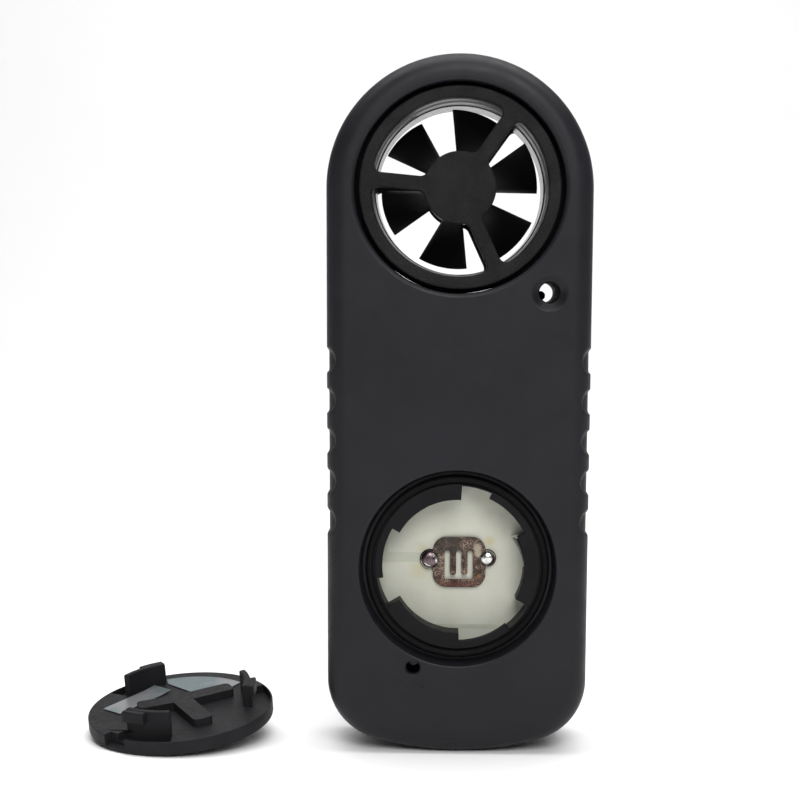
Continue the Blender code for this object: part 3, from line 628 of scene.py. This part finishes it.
def case_half(name, rear):
    face = 0.0 if rear else CASE_DEPTH
    inward = 1.0 if rear else -1.0
    end = PARTING_Y - GAP / 2
    rings = [[(x, face, z) for x, z in case_outline(EDGE_RADIUS + 0.4)]]
    for i in range(17):
        turn = 90.0 * i / 16
        y = EDGE_RADIUS * (1 - math.cos(math.radians(turn)))
        rings.append(case_ring(face, inward, turn, y))
    rings += [case_ring(face, inward, 90.0, end - 0.25), case_ring(face, inward, 90.0, end - 0.06, 0.05),
              case_ring(face, inward, 90.0, end, 0.22)]
    shell = loft(name, rings)
    hollow = [(1.8, 4.2), (3.4, 2.1), (PARTING_Y + 1, 1.8)]
    cut(shell, loft("inside", [[(x, face + inward * y, z) for x, z in coarse_outline(inset)]
                               for y, inset in hollow]))
    collar_end = face + inward * (PARTING_Y - GAP)
    collar = [(VANE_HOLE_RADIUS - 0.6, face + inward), (16.9, face + inward), (16.9, collar_end),
              (VANE_HOLE_RADIUS - 0.6, collar_end)]
    join(shell, turned("collar", collar, VANE, 96))
    lip = 0.75
    mouth = [(0, face - inward), (VANE_HOLE_RADIUS + lip + 0.15, face - inward),
             (VANE_HOLE_RADIUS + lip + 0.15, face - inward * 0.02)]
    mouth += [(VANE_HOLE_RADIUS + inset, y) for y, inset in fillet(face, inward, lip, 8)[1:]]
    mouth += [(VANE_HOLE_RADIUS, face + inward * 10), (0, face + inward * 10)]
    return cut(shell, turned("mouth", mouth, VANE, 160))


def boss(radius, y0, y1, centre):
    return rod("boss", radius, y0, y1, centre, 32)


def hole_with_dish(face, inward, radius, dish, depth, end, centre):
    """A hole that opens into a soft dish at the face."""
    profile = [(0, face - inward), (dish + 0.12, face - inward), (dish + 0.12, face - inward * 0.02)]
    for i in range(1, 9):
        share = i / 8
        ease = share * share * (3 - 2 * share)
        profile.append((dish + (radius - dish) * share, face + inward * depth * ease))
    profile += [(radius, end), (0, end)]
    return turned("dish", profile, centre, 64)


def ring_sector(name, inner, outer, start, end, y0, y1, radius, steps=24):
    return rounded_prism(name, lambda inset: sector(inner, outer, start, end, BAY, steps, inset),
                         y0, y1, radius)


def make_rear_case():
    shell = case_half("back_shell", rear=True)
    seat = [(BAY_RADIUS - 0.5, 0.9), (16.0, 0.9), (16.0, 4.2), (13.7, 4.2), (13.7, BAY_FLOOR_Y),
            (BAY_RADIUS - 0.5, BAY_FLOOR_Y)]
    join(shell, turned("seat", seat, BAY, 96))
    cut(shell, rod("well", BAY_RADIUS, -1, 8, BAY, 128))
    lip = 0.3
    mouth = [(0, -1), (BAY_MOUTH_RADIUS + lip + 0.05, -1), (BAY_MOUTH_RADIUS + lip + 0.05, -0.02)]
    mouth += [(BAY_MOUTH_RADIUS + inset, y) for y, inset in fillet(0, 1, lip, 5)[1:]]
    mouth += [(BAY_MOUTH_RADIUS - 0.15, BAY_GROOVE_Y - 0.5), (BAY_MOUTH_RADIUS - 0.5, BAY_GROOVE_Y),
              (BAY_RADIUS + 0.32, BAY_GROOVE_Y), (BAY_RADIUS + 0.3, BAY_SEAT_Y + 0.12),
              (BAY_RADIUS + 0.18, BAY_SEAT_Y), (0, BAY_SEAT_Y)]
    cut(shell, turned("mouth", mouth, BAY, 160))
    front = BAY_SEAT_Y + 0.01
    root = BAY_RADIUS + 0.3
    lugs = [ring_sector("lug", LUG_RADIUS, root, a, b, front, LUG_END_Y, 0.14) for a, b in LUG_SPANS]
    ledges = [ring_sector("ledge", LEDGE_RADIUS, root, a, b, front, LEDGE_END_Y, 0.12)
              for a, b in LEDGE_SPANS]
    for piece in lugs + ledges:
        join(shell, piece)
    cut(shell, prism("pocket", sector(9.7, 11.5, -3, 29, BAY, 12), 3.4, 6.6))
    join(shell, boss(3.0, 1.0, PARTING_Y - GAP, LANYARD))
    join(shell, *[boss(2.2, 1.0, PARTING_Y - GAP, spot) for spot in CASE_SCREWS])
    cut(shell, hole_with_dish(0, 1, LANYARD_RADIUS, 2.9, 0.8, 10, LANYARD))
    cut(shell, hole_with_dish(0, 1, SWITCH_HOLE_RADIUS, SWITCH_HOLE_RADIUS + 0.2, 0.2, 4.8, SWITCH))
    cut(shell, *[rod("pilot", 1.3, 3.6, 10, spot, 20) for spot in CASE_SCREWS])
    place(shell, "soft_black", "meter_body", "rear_case")
    repaint(shell, "shadow_black", lambda at, normal: at.y > 0.75 and distance(at, LANYARD) < 1.6)
    # Deep in the bay the lugs, ledges and walls get this darker finish: painted shade.
    repaint(shell, "bay_painted_shade", lambda at, normal: at.y > 2.2 and distance(at, BAY) < 12.7)


def fascia_outline(inset):
    """The display side's recessed panel: the case outline cut off below the vane."""
    lower = [(x, z) for x, z in case_outline(inset, 8, 20, 1) if z < CORNER_Z + 0.001]
    half = max(x for x, z in lower)
    corner = 3.0 - min(inset - 2.9, 1.0)
    top = FASCIA_TOP_Z + 3.2 - inset
    points = arc((half - corner, top - corner), corner, 0, 90, 12)
    points += arc((corner - half, top - corner), corner, 90, 180, 12)
    return points + lower


def make_front_case():
    shell = case_half("front_shell", rear=False)
    deck = prism("deck", coarse_outline(2.4), 15.2, 16.6)
    cut(deck, rod("clear", VANE_HOLE_RADIUS + 0.5, 14, 18, VANE, 96))
    join(shell, deck)
    join(shell, boss(3.0, PARTING_Y + GAP, 17.0, LANYARD),
         *[boss(2.6, PARTING_Y + GAP, 16.5, spot) for spot in CASE_SCREWS])
    recess = loft("recess", [[(x, y, z) for x, z in fascia_outline(inset)]
                             for y, inset in ((17.1, 2.9), (17.9, 2.9), (18.02, 2.72), (19, 2.7))])
    window_pocket = prism("pocket", rectangle(25.6, 23.6, DISPLAY, 1.5), 15.6, 18)
    window_hole = prism("hole", rectangle(22.6, 20.6, DISPLAY, 1.0), 14, 18)
    key_holes = [prism("key", rectangle(10.6, 6.6, (side * KEY_X, KEY_Z), 3.2, 10), 14, 18)
                 for side in (-1, 1)]
    cut(shell, recess, window_pocket, window_hole, *key_holes)
    cut(shell, hole_with_dish(CASE_DEPTH, -1, LANYARD_RADIUS, 2.5, 0.8, 8, LANYARD))
    for spot in CASE_SCREWS:
        bore = [(0, 8), (1.4, 8), (1.4, 13.0), (2.1, 13.0), (2.1, 19), (0, 19)]
        cut(shell, turned("bore", bore, spot, 40))
    post = (LANYARD[0] - 0.8, LANYARD[1] - 0.45)
    join(shell, rod("post", 0.72, 10.0, 16.0, post, 24))
    place(shell, "soft_black", "meter_body", "front_case")
    repaint(shell, "shadow_black", lambda at, normal: at.y < 17.3 and distance(at, LANYARD) < 1.6)


def make_fascia():
    panel = rounded_prism("display_panel", lambda inset: fascia_outline(3.2 + inset), 17.95, 17.35, 0.2)
    cut(panel, prism("window", rectangle(22.4, 20.4, DISPLAY, 1.0), 17, 19))
    cut(panel, *[prism("key", rectangle(10.6, 6.6, (side * KEY_X, KEY_Z), 3.2, 10), 17, 19)
                 for side in (-1, 1)])
    place(panel, "textured_black", "meter_body", "front_fascia")


def stroke(points, width, y0, y1):
    """A raised line through points, with round ends and joins."""
    pieces = []
    for (x0, z0), (x1, z1) in zip(points, points[1:]):
        turn = math.degrees(math.atan2(z1 - z0, x1 - x0))
        outline = arc((x1, z1), width / 2, turn - 90, turn + 90, 6)
        outline += arc((x0, z0), width / 2, turn + 90, turn + 270, 6)
        pieces.append(prism("stroke", outline, y0, y1))
    first = pieces.pop(0)
    return join(first, *pieces) if pieces else first


def make_unit_marks():
    """The two temperature unit letters under the pinhole, raised a hair's breadth."""
    x, z = SWITCH[0] - 0.25, SWITCH[1] - 3.0
    half, width = 1.0, 0.22
    letter_c = [(x - 1.35 + 0.62 * math.cos(math.radians(t)), z + half * math.sin(math.radians(t)))
                for t in range(50, 311, 20)]
    slash = [(x - 0.15, z - half), (x + 0.35, z + half)]
    left = x + 1.65
    letter_f = [(left + 1.0, z + half), (left, z + half), (left, z - half)]
    bar = [(left, z + 0.1), (left + 0.8, z + 0.1)]
    rings = [[(a + 0.3 * math.cos(math.radians(t)), z + 0.75 + 0.3 * math.sin(math.radians(t)))
              for t in range(0, 361, 30)] for a in (x - 2.45, x + 1.05)]
    pieces = [stroke(points, width, -0.05, 0.2) for points in (letter_c, slash, letter_f, bar, *rings)]
    marks = pieces.pop(0)
    marks.name = "unit_marks"
    join(marks, *pieces)
    place(marks, "soft_black", "meter_body")


# ---------------------------------------------------------------- vane

def make_guard(name, node, rear):
    face = GAP if rear else CASE_DEPTH - GAP
    inward = 1.0 if rear else -1.0
    back = face + inward * GUARD_THICKNESS
    edge = 0.32
    rings = fillet(face, inward, edge, 6) + [(back, 0.0)]
    profile = [(0.0, face)] + [(GUARD_RADIUS - inset, y) for y, inset in rings] + [(0.0, back)]
    guard = turned(name, profile, VANE, 192)
    round_over = [(face - inward * 0.02, edge + 0.02)] + fillet(face, inward, edge, 6)[1:]
    round_over += [(back + inward, 0.0)]
    for angle in GUARD_SPOKE_ANGLES:
        cut(guard, loft("window", [[(x, y, z) for x, z in guard_window(angle, angle + 120, grow)]
                                   for y, grow in round_over]))
    boss_end = back + inward * 1.5
    join(guard, turned("boss", [(0, face + inward), (2.6, face + inward), (2.6, boss_end), (0, boss_end)],
                       VANE, 48))
    cut(guard, turned("seat", [(0, face + inward * 1.3), (1.8, face + inward * 1.3),
                               (1.8, boss_end + inward), (0, boss_end + inward)], VANE, 48))
    cut(guard, turned("gate", [(0, face - inward), (0.5, face - inward), (0.5, face + inward * 0.05),
                               (0, face + inward * 0.07)], VANE, 32))
    place(guard, "textured_black", "meter_body", node)


def make_barrel():
    outer = VANE_HOLE_RADIUS - 0.05
    profile = [(outer, 2.6), (13.5, 2.6), (13.32, 2.72), (13.28, 5.4), (13.36, 5.5), (13.34, 5.62),
               (13.04, 5.66), (12.99, 8.4), (13.07, 8.5), (13.05, 8.62), (12.8, 8.66), (12.7, 15.25),
               (12.82, 15.4), (outer, 15.4)]
    barrel = place(turned("fan_barrel", profile, VANE, 192), "gloss_black", "meter_body", "vane_barrel")
    # The inner bands are painted light grey as a reflection of the backdrop; the flange below gets painted
    # shade.
    repaint(barrel, "barrel_painted_reflection", lambda at, normal: 2.72 < at.y < 8.45 and normal.y < 0.5)
    repaint(barrel, "shadow_black", lambda at, normal: at.y < 2.7)


def blade(angle, stations=10, chords=16):
    """A pitched blade: the chord runs down the barrel while it turns about the axis."""
    rings = []
    for i in range(stations + 1):
        radius = BLADE_ROOT_RADIUS + (BLADE_TIP_RADIUS - BLADE_ROOT_RADIUS) * i / stations
        front, back = [], []
        for j in range(chords + 1):
            share = j / chords
            half = BLADE_THICKNESS / 2 * min(1.0, 0.35 + 2.6 * math.sqrt(share * (1 - share)))
            turn = angle + BLADE_SPAN * (share - 0.5)
            y = BLADE_Y[0] + (BLADE_Y[1] - BLADE_Y[0]) * share
            x, z = polar(radius, turn, VANE)
            front.append((x, y - half, z))
            back.append((x, y + half, z))
        rings.append(front + back[::-1])
    return loft("blade", rings)


def make_impeller():
    low, high = span("impeller")
    radius = 5.1
    profile = [(0.9, low.y)] + [(radius - inset, y) for y, inset in fillet(low.y, 1, 0.6, 6)]
    profile += [(radius, high.y), (0.9, high.y)]
    hub = turned("fan", profile, VANE, 96)
    for i in range(BLADE_COUNT):
        join(hub, blade(BLADE_PHASE + 360.0 * i / BLADE_COUNT))
    place(hub, "vane_black", "rotor", "impeller")


# ---------------------------------------------------------------- battery bay hardware

def make_seal():
    y = BAY_GROOVE_Y - 0.1 - SEAL_SECTION
    profile = [(SEAL_RADIUS + SEAL_SECTION * math.cos(math.radians(t)),
                y + SEAL_SECTION * math.sin(math.radians(t))) for t in range(0, 360, 18)]
    place(turned("bay_seal", profile, BAY, 160), "seal_rubber", "meter_body", "battery_seal_ring")


def contact_plate():
    """The stamped plate: two sprung tongues in an E-shaped window, and a bite for each solder joint."""
    back = span("battery_contact_negative")[1].y
    face = back - 0.25
    width, height, corner = 8.1, 7.8, 2.1

    def outline(inset):
        return rectangle(width - 2 * inset, height - 2 * inset, CONTACT, corner - inset, 12)

    plate = rounded_prism("contact_plate", outline, face, back, 0.12)
    slot_width, pitch = 0.82, 1.76
    x, top, foot = CONTACT[0] - 0.07, CONTACT[1] + 1.75, CONTACT[1] - 2.65
    slots = [rectangle(slot_width, top - foot, (x + i * pitch, (top + foot) / 2), 0.3, 6)
             for i in (-1, 0, 1)]
    slots.append(rectangle(2 * pitch + slot_width, 0.62, (x, foot + 0.31), 0.28, 6))
    for slot in slots:
        cut(plate, prism("slot", slot, 6.0, 8.0))
    for side in (-0.5, 0.5):
        tip_x, tip_z = x + side * pitch, foot + 0.62
        rounding = prism("tip", rectangle(pitch - slot_width + 0.2, 0.5, (tip_x, tip_z + 0.2)), 6.0, 8.0)
        cut(rounding, rod("round", (pitch - slot_width) / 2, 5.0, 9.0, (tip_x, tip_z + 0.45), 24))
        cut(plate, rounding)
    bites = [(CONTACT[0] + side * SOLDER_OFFSET[0], CONTACT[1] + SOLDER_OFFSET[1]) for side in (-1, 1)]
    cut(plate, *[rod("bite", 1.1, 6, 8, spot, 40) for spot in bites])
    place(plate, "tinned_brown", "meter_body", "battery_contact_negative", bevel=0.05)


def solder_joint(name, node, spot, slot, reflection_slot, reflection_sides):
    """A domed blob with a painted reflection of another finish on the listed sides, and a painted shadow at
    its foot.
    """
    low, high = span(node)
    radius = (high.x - low.x) / 2 * 1.12
    floor = BOARD_FACE_Y - 0.02
    foot, steps = floor - 0.08, 14
    dome = [(0.0, floor), (radius, floor), (radius, foot)]
    for i in range(1, steps):
        turn = math.radians(90.0 * i / steps)
        dome.append((radius * math.cos(turn) ** 0.8, foot - (foot - low.y) * math.sin(turn)))
    dome.append((0.0, low.y))
    blob = place(turned(name, dome, spot, 64), "solder", "meter_body", node)
    blob.data.materials[0] = MATERIALS[slot]
    # Painted reflection on the listed sides, then a painted contact shadow round the rim.
    repaint(blob, reflection_slot, lambda at, normal: any(
        (at.x - spot[0]) * x + (at.z - spot[1]) * z > 0.48 * radius for x, z in reflection_sides))
    repaint(blob, "shadow_black", lambda at, normal: distance(at, spot) > 0.93 * radius)


def solder_joints():
    """A flattened blob at the left, painted dark as a purplish reflection, and a rounder, brighter one at
    the right.
    """
    x, z = SOLDER_OFFSET
    solder_joint("solder_left", "solder_joint_left", (CONTACT[0] - x, CONTACT[1] + z - 0.25),
                 "solder_dark_reflection", "solder", ((-0.45, -0.89), (0.95, 0.3)))
    solder_joint("solder_right", "solder_joint_right", (CONTACT[0] + x - 0.15, CONTACT[1] + z),
                 "solder", "solder_dark_reflection", ((0.75, -0.66),))


def contact_leaf():
    """The bright leaf that touches the side of the cell; it leans in towards the board."""
    rings = []
    for y, lean in ((3.9, 0.0), (5.0, 0.35), (6.1, 0.75), (7.1, 1.25)):
        radii = [10.55 - lean * (0.25 + 0.75 * i / 24) for i in range(25)]
        turns = [0.5 + 26.0 * i / 24 for i in range(25)]
        inner = [polar(radius - 0.12, turn, BAY) for radius, turn in zip(radii, turns)]
        outer = [polar(radius + 0.12, turn, BAY) for radius, turn in zip(radii, turns)]
        rings.append([(x, y, z) for x, z in inner + outer[::-1]])
    leaf = place(loft("contact_leaf", rings), "steel", "meter_body", "battery_contact_positive", bevel=0.05)
    # Low down, behind the lug, the leaf is painted darker: black on its near part, darker steel deeper in;
    # both are painted shade.
    repaint(leaf, "shadow_black", lambda at, normal: at.y < 5.9 and at.z < BAY[1] + 3.9)
    repaint(leaf, "steel_painted_shade", lambda at, normal: at.y >= 5.9 and at.z < BAY[1] + 3.9)


def make_board():
    notch_x, notch_z, top, low, tab = 11.0, 6.9, 12.8, -41.3, -43.4
    right = [(notch_x, top), (notch_x, notch_z), (17.2, notch_z), (17.2, low), (7.9, low), (7.9, tab)]
    outline = [(-x, z) for x, z in right][::-1] + right
    face, back = BOARD_FACE_Y, span("main_board")[1].y
    board = prism("circuit_board", outline, face, back)
    holes = [(side * 15.6, z) for z in (1.5, -33.0) for side in (-1, 1)]
    cut(board, *[rod("hole", 1.3, 7, 10, spot, 32) for spot in holes])
    height = 0.06
    traces = ((7.6, 1.4, (-8.7, -23.8)), (1.4, 4.2, (-11.3, -21.0)), (22.0, 0.6, (1.5, -34.4)))
    for width, length, spot in traces:
        join(board, prism("trace", rectangle(width, length, spot, 0.2, 4), face - height, face + 0.2))
    place(board, "board_white", "meter_body", "main_board")
    repaint(board, "board_trace", lambda at, normal: at.y < face - 0.01)


# ---------------------------------------------------------------- display side

def make_display():
    low, high = span("display_window")
    window = rounded_prism("window", lambda inset: rectangle(25.0 - 2 * inset, 23.0 - 2 * inset, DISPLAY,
                                                             1.3 - inset, 8), high.y, low.y, 0.15, 0.1)
    place(window, "clear", "meter_body", "display_window")
    for node, side in (("key_left", -1), ("key_right", 1)):
        spot = (side * KEY_X, KEY_Z)
        low, high = span(node)
        insets = fillet(high.y, -1, 0.5, 6) + [(low.y + 0.1, 0.0)]
        outlines = [(y, rectangle(9.9 - 2 * inset, 5.9 - 2 * inset, spot, 2.9 - inset, 10))
                    for y, inset in insets]
        cap = loft(node + "_cap", [[(x, y, z) for x, z in outline] for y, outline in outlines])
        join(cap, prism("flange", rectangle(12.4, 8.4, spot, 3.6, 10), low.y, low.y + 1.0))
        dimple = turned("dimple", [(0, high.y + 1), (1.6, high.y + 1), (1.6, high.y + 0.01),
                                   (0.9, high.y - 0.16), (0, high.y - 0.22)], spot, 40)
        cut(cap, dimple)
        place(cap, "key_grey", "left_key" if side < 0 else "right_key", node)


def make_screws():
    for i, spot in enumerate(CASE_SCREWS):
        node = f"case_screw_{i + 1}"
        low, high = span(node)
        profile = [(0, low.y), (0.9, low.y + 0.7), (0.9, 13.3), (1.8, 13.3), (1.8, 14.2), (1.6, 14.6),
                   (1.2, high.y), (0, high.y)]
        screw = turned(f"screw_{i + 1}", profile, spot, 32)
        for size in ((1.9, 0.42), (0.42, 1.9)):
            cut(screw, prism("cross", rectangle(*size, spot), 14.1, 16))
        place(screw, "steel", "meter_body", node)


# ---------------------------------------------------------------- battery cover

def cover_transform():
    turn = (Matrix.Rotation(math.radians(COVER_ROLL), 4, "Y")
            @ Matrix.Rotation(math.radians(COVER_LEAN), 4, "X"))
    axis = turn @ Vector((0, 0, 1))
    height = -HALF_LENGTH + COVER_RADIUS * math.sqrt(1 - axis.z ** 2)
    return Matrix.Translation(Vector((*COVER_CENTRE, height)) * MM) @ turn


def star_outline():
    """The raised three-armed rib that holds the cell down."""
    side = PRESS_ARM_WIDTH / 2
    points = []
    for i, (angle, length) in enumerate(PRESS_ARMS):
        along, across = length - PRESS_ARM_CORNER, side - PRESS_ARM_CORNER
        for sign in (-1, 1):
            aside = sign * math.degrees(math.atan2(across, along))
            centre = polar(math.hypot(along, across), angle + aside)
            start = angle - 90.0 if sign < 0 else angle
            points += arc(centre, PRESS_ARM_CORNER, start, start + 90.0, 8)
        following = PRESS_ARMS[(i + 1) % len(PRESS_ARMS)][0]
        half_turn = ((following - angle) % 360.0) / 2
        points.append(polar(side / math.sin(math.radians(half_turn)), angle + half_turn))
    return points


def make_cover():
    rest = cover_transform()
    top = COVER_THICKNESS
    rims = [(COVER_RADIUS - 0.5, 0.0), (COVER_RADIUS - 0.22, 0.07), (COVER_RADIUS - 0.06, 0.2),
            (COVER_RADIUS, 0.4), (COVER_RADIUS, top - 0.15), (COVER_RADIUS - 0.05, top - 0.04),
            (COVER_RADIUS - 0.16, top)]
    disc = loft("loose_battery_cover", [[(x, y, z) for x, y in circle(radius, 160)] for radius, z in rims])
    low, high = HOOK_WALL
    hook_top = top + HOOK_HEIGHT
    for angle in HOOK_ANGLES:
        start, end = angle - HOOK_SPAN / 2, angle + HOOK_SPAN / 2
        heights = [(top - 0.6, 0.0), (hook_top - 0.25, 0.0), (hook_top - 0.08, 0.07), (hook_top, 0.22)]
        wall = loft("hook", [[(x, y, z) for x, y in sector(low, high, start, end, steps=14, inset=inset)]
                             for z, inset in heights])
        barb_heights = [(top + BARB_HEIGHTS[0], 0.0), (top + BARB_HEIGHTS[1] - 0.2, 0.0),
                        (top + BARB_HEIGHTS[1], 0.15)]
        barb = loft("barb", [[(x, y, z) for x, y in sector(high - 0.4, BARB_RADIUS, start + 0.5,
                                                           start + HOOK_SPAN / 2, steps=10, inset=inset)]
                             for z, inset in barb_heights])
        join(wall, barb)
        join(disc, wall)
    join(disc, tower("star", star_outline(), top - 0.6, top + PRESS_ARM_HEIGHT))
    for angle in HOOK_ANGLES:
        reach = HOOK_SPAN / 2 + 1
        foot = sector(high + 0.06, FOOT_RADIUS, angle - reach, angle + reach, steps=14)
        cut(disc, tower("foot", foot, top - FOOT_DEPTH, top + 1.2))
    pry = [polar(math.hypot(x, y), PRY_ANGLE + math.degrees(math.atan2(y, x)))
           for x, y in ((PRY_RADIUS, -PRY_HALF_WIDTH), (16.0, -PRY_HALF_WIDTH),
                        (16.0, PRY_HALF_WIDTH), (PRY_RADIUS, PRY_HALF_WIDTH))]
    cut(disc, tower("pry", pry, 0.5, top + 1))
    coin = rectangle(13.0, 1.8, (0, 0), 0.85, 8)
    cut(disc, tower("coin", coin, -1, 0.9))
    place(disc, "cover_black", "loose_cover", "battery_cover", bevel=0.09, shared=rest)

    sheet = (top + 0.1, top + 0.16)
    round_outline = arc((0, 0), 11.9, 44, 108.5, 40) + [polar(9.9, 109.5), (1.5, 4.7), (7.4, 6.6)]
    place(tower("round_sticker", round_outline, *sheet), "label_silver", "loose_cover", "cover_label_round",
          shared=rest)
    centre, half_length, half_width, angle = (-7.3, 2.95), 5.4, 1.95, 51.0
    steps = 24
    vertices, faces = [], []
    for i in range(steps + 1):
        share = i / steps
        lift = 0.12 + 0.45 * max(0.0, share - 0.7) ** 2 / 0.09 * 0.55
        for side in (-1, 1):
            for thickness in (0.0, 0.06):
                along = half_length * (2 * share - 1)
                x, y = polar(math.hypot(along, side * half_width),
                             angle + math.degrees(math.atan2(side * half_width, along)), centre)
                vertices.append((x, y, top + lift + thickness))
    for i in range(steps):
        a, b = 4 * i, 4 * (i + 1)
        faces += [(a, b, b + 2, a + 2), (a + 1, a + 3, b + 3, b + 1), (a, a + 1, b + 1, b),
                  (a + 2, b + 2, b + 3, a + 3)]
    end = 4 * steps
    faces += [(0, 2, 3, 1), (end, end + 1, end + 3, end + 2)]
    place(solid("long_sticker", vertices, faces), "label_silver", "loose_cover", "cover_label_long",
          shared=rest)


# ---------------------------------------------------------------- carried-over nodes

def repaint_remaining():
    """Give every CAD node that still shows the finish of its slot."""
    slots = {part["node"]: part["material_slot"] for part in frame["record"]["subparts"]}
    for name, item in frame["nodes"].items():
        item.data.materials.clear()
        item.data.materials.append(MATERIALS[slots[name]])


# ---------------------------------------------------------------- stage, light and camera

def make_stage():
    """A pale floor that curves up into a backdrop far behind."""
    floor_z = -HALF_LENGTH * MM - 0.00005
    result, tree, shader, coordinates = start_material("paper")
    soft = noise(tree, coordinates, 60.0, 2.0)
    tree.links.new(blend_colours(tree, soft, (0.93, 0.93, 0.93), (0.95, 0.95, 0.95)),
                   shader.inputs["Base Color"])
    shader.inputs["Roughness"].default_value = 0.9
    shader.inputs["Specular IOR Level"].default_value = 0.1
    width, near, far, bend, height = 3.0, -1.6, 1.2, 0.5, 1.6
    profile = [(near, floor_z), (far - bend, floor_z)]
    profile += [(far - bend + bend * math.sin(math.radians(t)),
                 floor_z + bend * (1 - math.cos(math.radians(t)))) for t in range(6, 91, 6)]
    profile.append((far, height))
    vertices = [(x, y, z) for y, z in profile for x in (-width, width)]
    faces = [(2 * i, 2 * i + 1, 2 * i + 3, 2 * i + 2) for i in range(len(profile) - 1)]
    mesh = bpy.data.meshes.new("paper_sweep")
    mesh.from_pydata(vertices, [], faces)
    mesh.materials.append(result)
    mesh.shade_smooth()
    sweep = bpy.data.objects.new("paper_sweep", mesh)
    bpy.context.scene.collection.objects.link(sweep)


def add_light(name, place_m, target_m, size, power, height=None):
    data = bpy.data.lights.new(name, "AREA")
    data.shape = "RECTANGLE"
    data.size = size
    data.size_y = height or size
    data.energy = power
    light = bpy.data.objects.new(name, data)
    light.location = place_m
    light.rotation_euler = (Vector(target_m) - Vector(place_m)).to_track_quat("-Z", "Y").to_euler()
    bpy.context.scene.collection.objects.link(light)


def make_light():
    bpy.context.scene.view_settings.view_transform = "Standard"
    world = bpy.data.worlds.new("studio")
    bpy.context.scene.world = world
    world.use_nodes = True
    background = world.node_tree.nodes["Background"]
    background.inputs["Color"].default_value = (1.0, 1.0, 1.0, 1.0)
    background.inputs["Strength"].default_value = 0.12
    add_light("main_soft", (0.08, -0.5, 0.34), (0.0, 0.0, 0.0), 0.32, 2.5)
    add_light("top_soft", (0.05, -0.06, 0.6), (0.0, 0.0, 0.0), 0.6, 1.7)
    add_light("backdrop_wash", (0.0, 0.35, 0.9), (0.0, 0.95, 0.1), 1.2, 11.0)


def make_camera():
    data = bpy.data.cameras.new("camera")
    data.lens = 78.65
    data.sensor_width = 36.0
    data.clip_start = 0.01
    data.clip_end = 20.0
    camera = bpy.data.objects.new("camera", data)
    yaw, pitch, roll = (math.radians(angle) for angle in (1.29, 3.28, 0.3))
    camera.matrix_world = (Matrix.Translation(Vector((-2.87, -260.0, 15.80)) * MM)
                           @ Matrix.Rotation(yaw, 4, "Z") @ Matrix.Rotation(math.pi / 2 - pitch, 4, "X")
                           @ Matrix.Rotation(roll, 4, "Z"))
    bpy.context.scene.collection.objects.link(camera)
    bpy.context.scene.camera = camera


make_camera()
make_stage()
make_light()
make_rear_case()
make_unit_marks()
make_front_case()
make_fascia()
make_guard("guard_rear", "vane_guard_rear", rear=True)
make_guard("guard_front", "vane_guard_front", rear=False)
make_barrel()
make_impeller()
make_seal()
contact_plate()
solder_joints()
contact_leaf()
make_board()
make_display()
make_screws()
make_cover()
repaint_remaining()
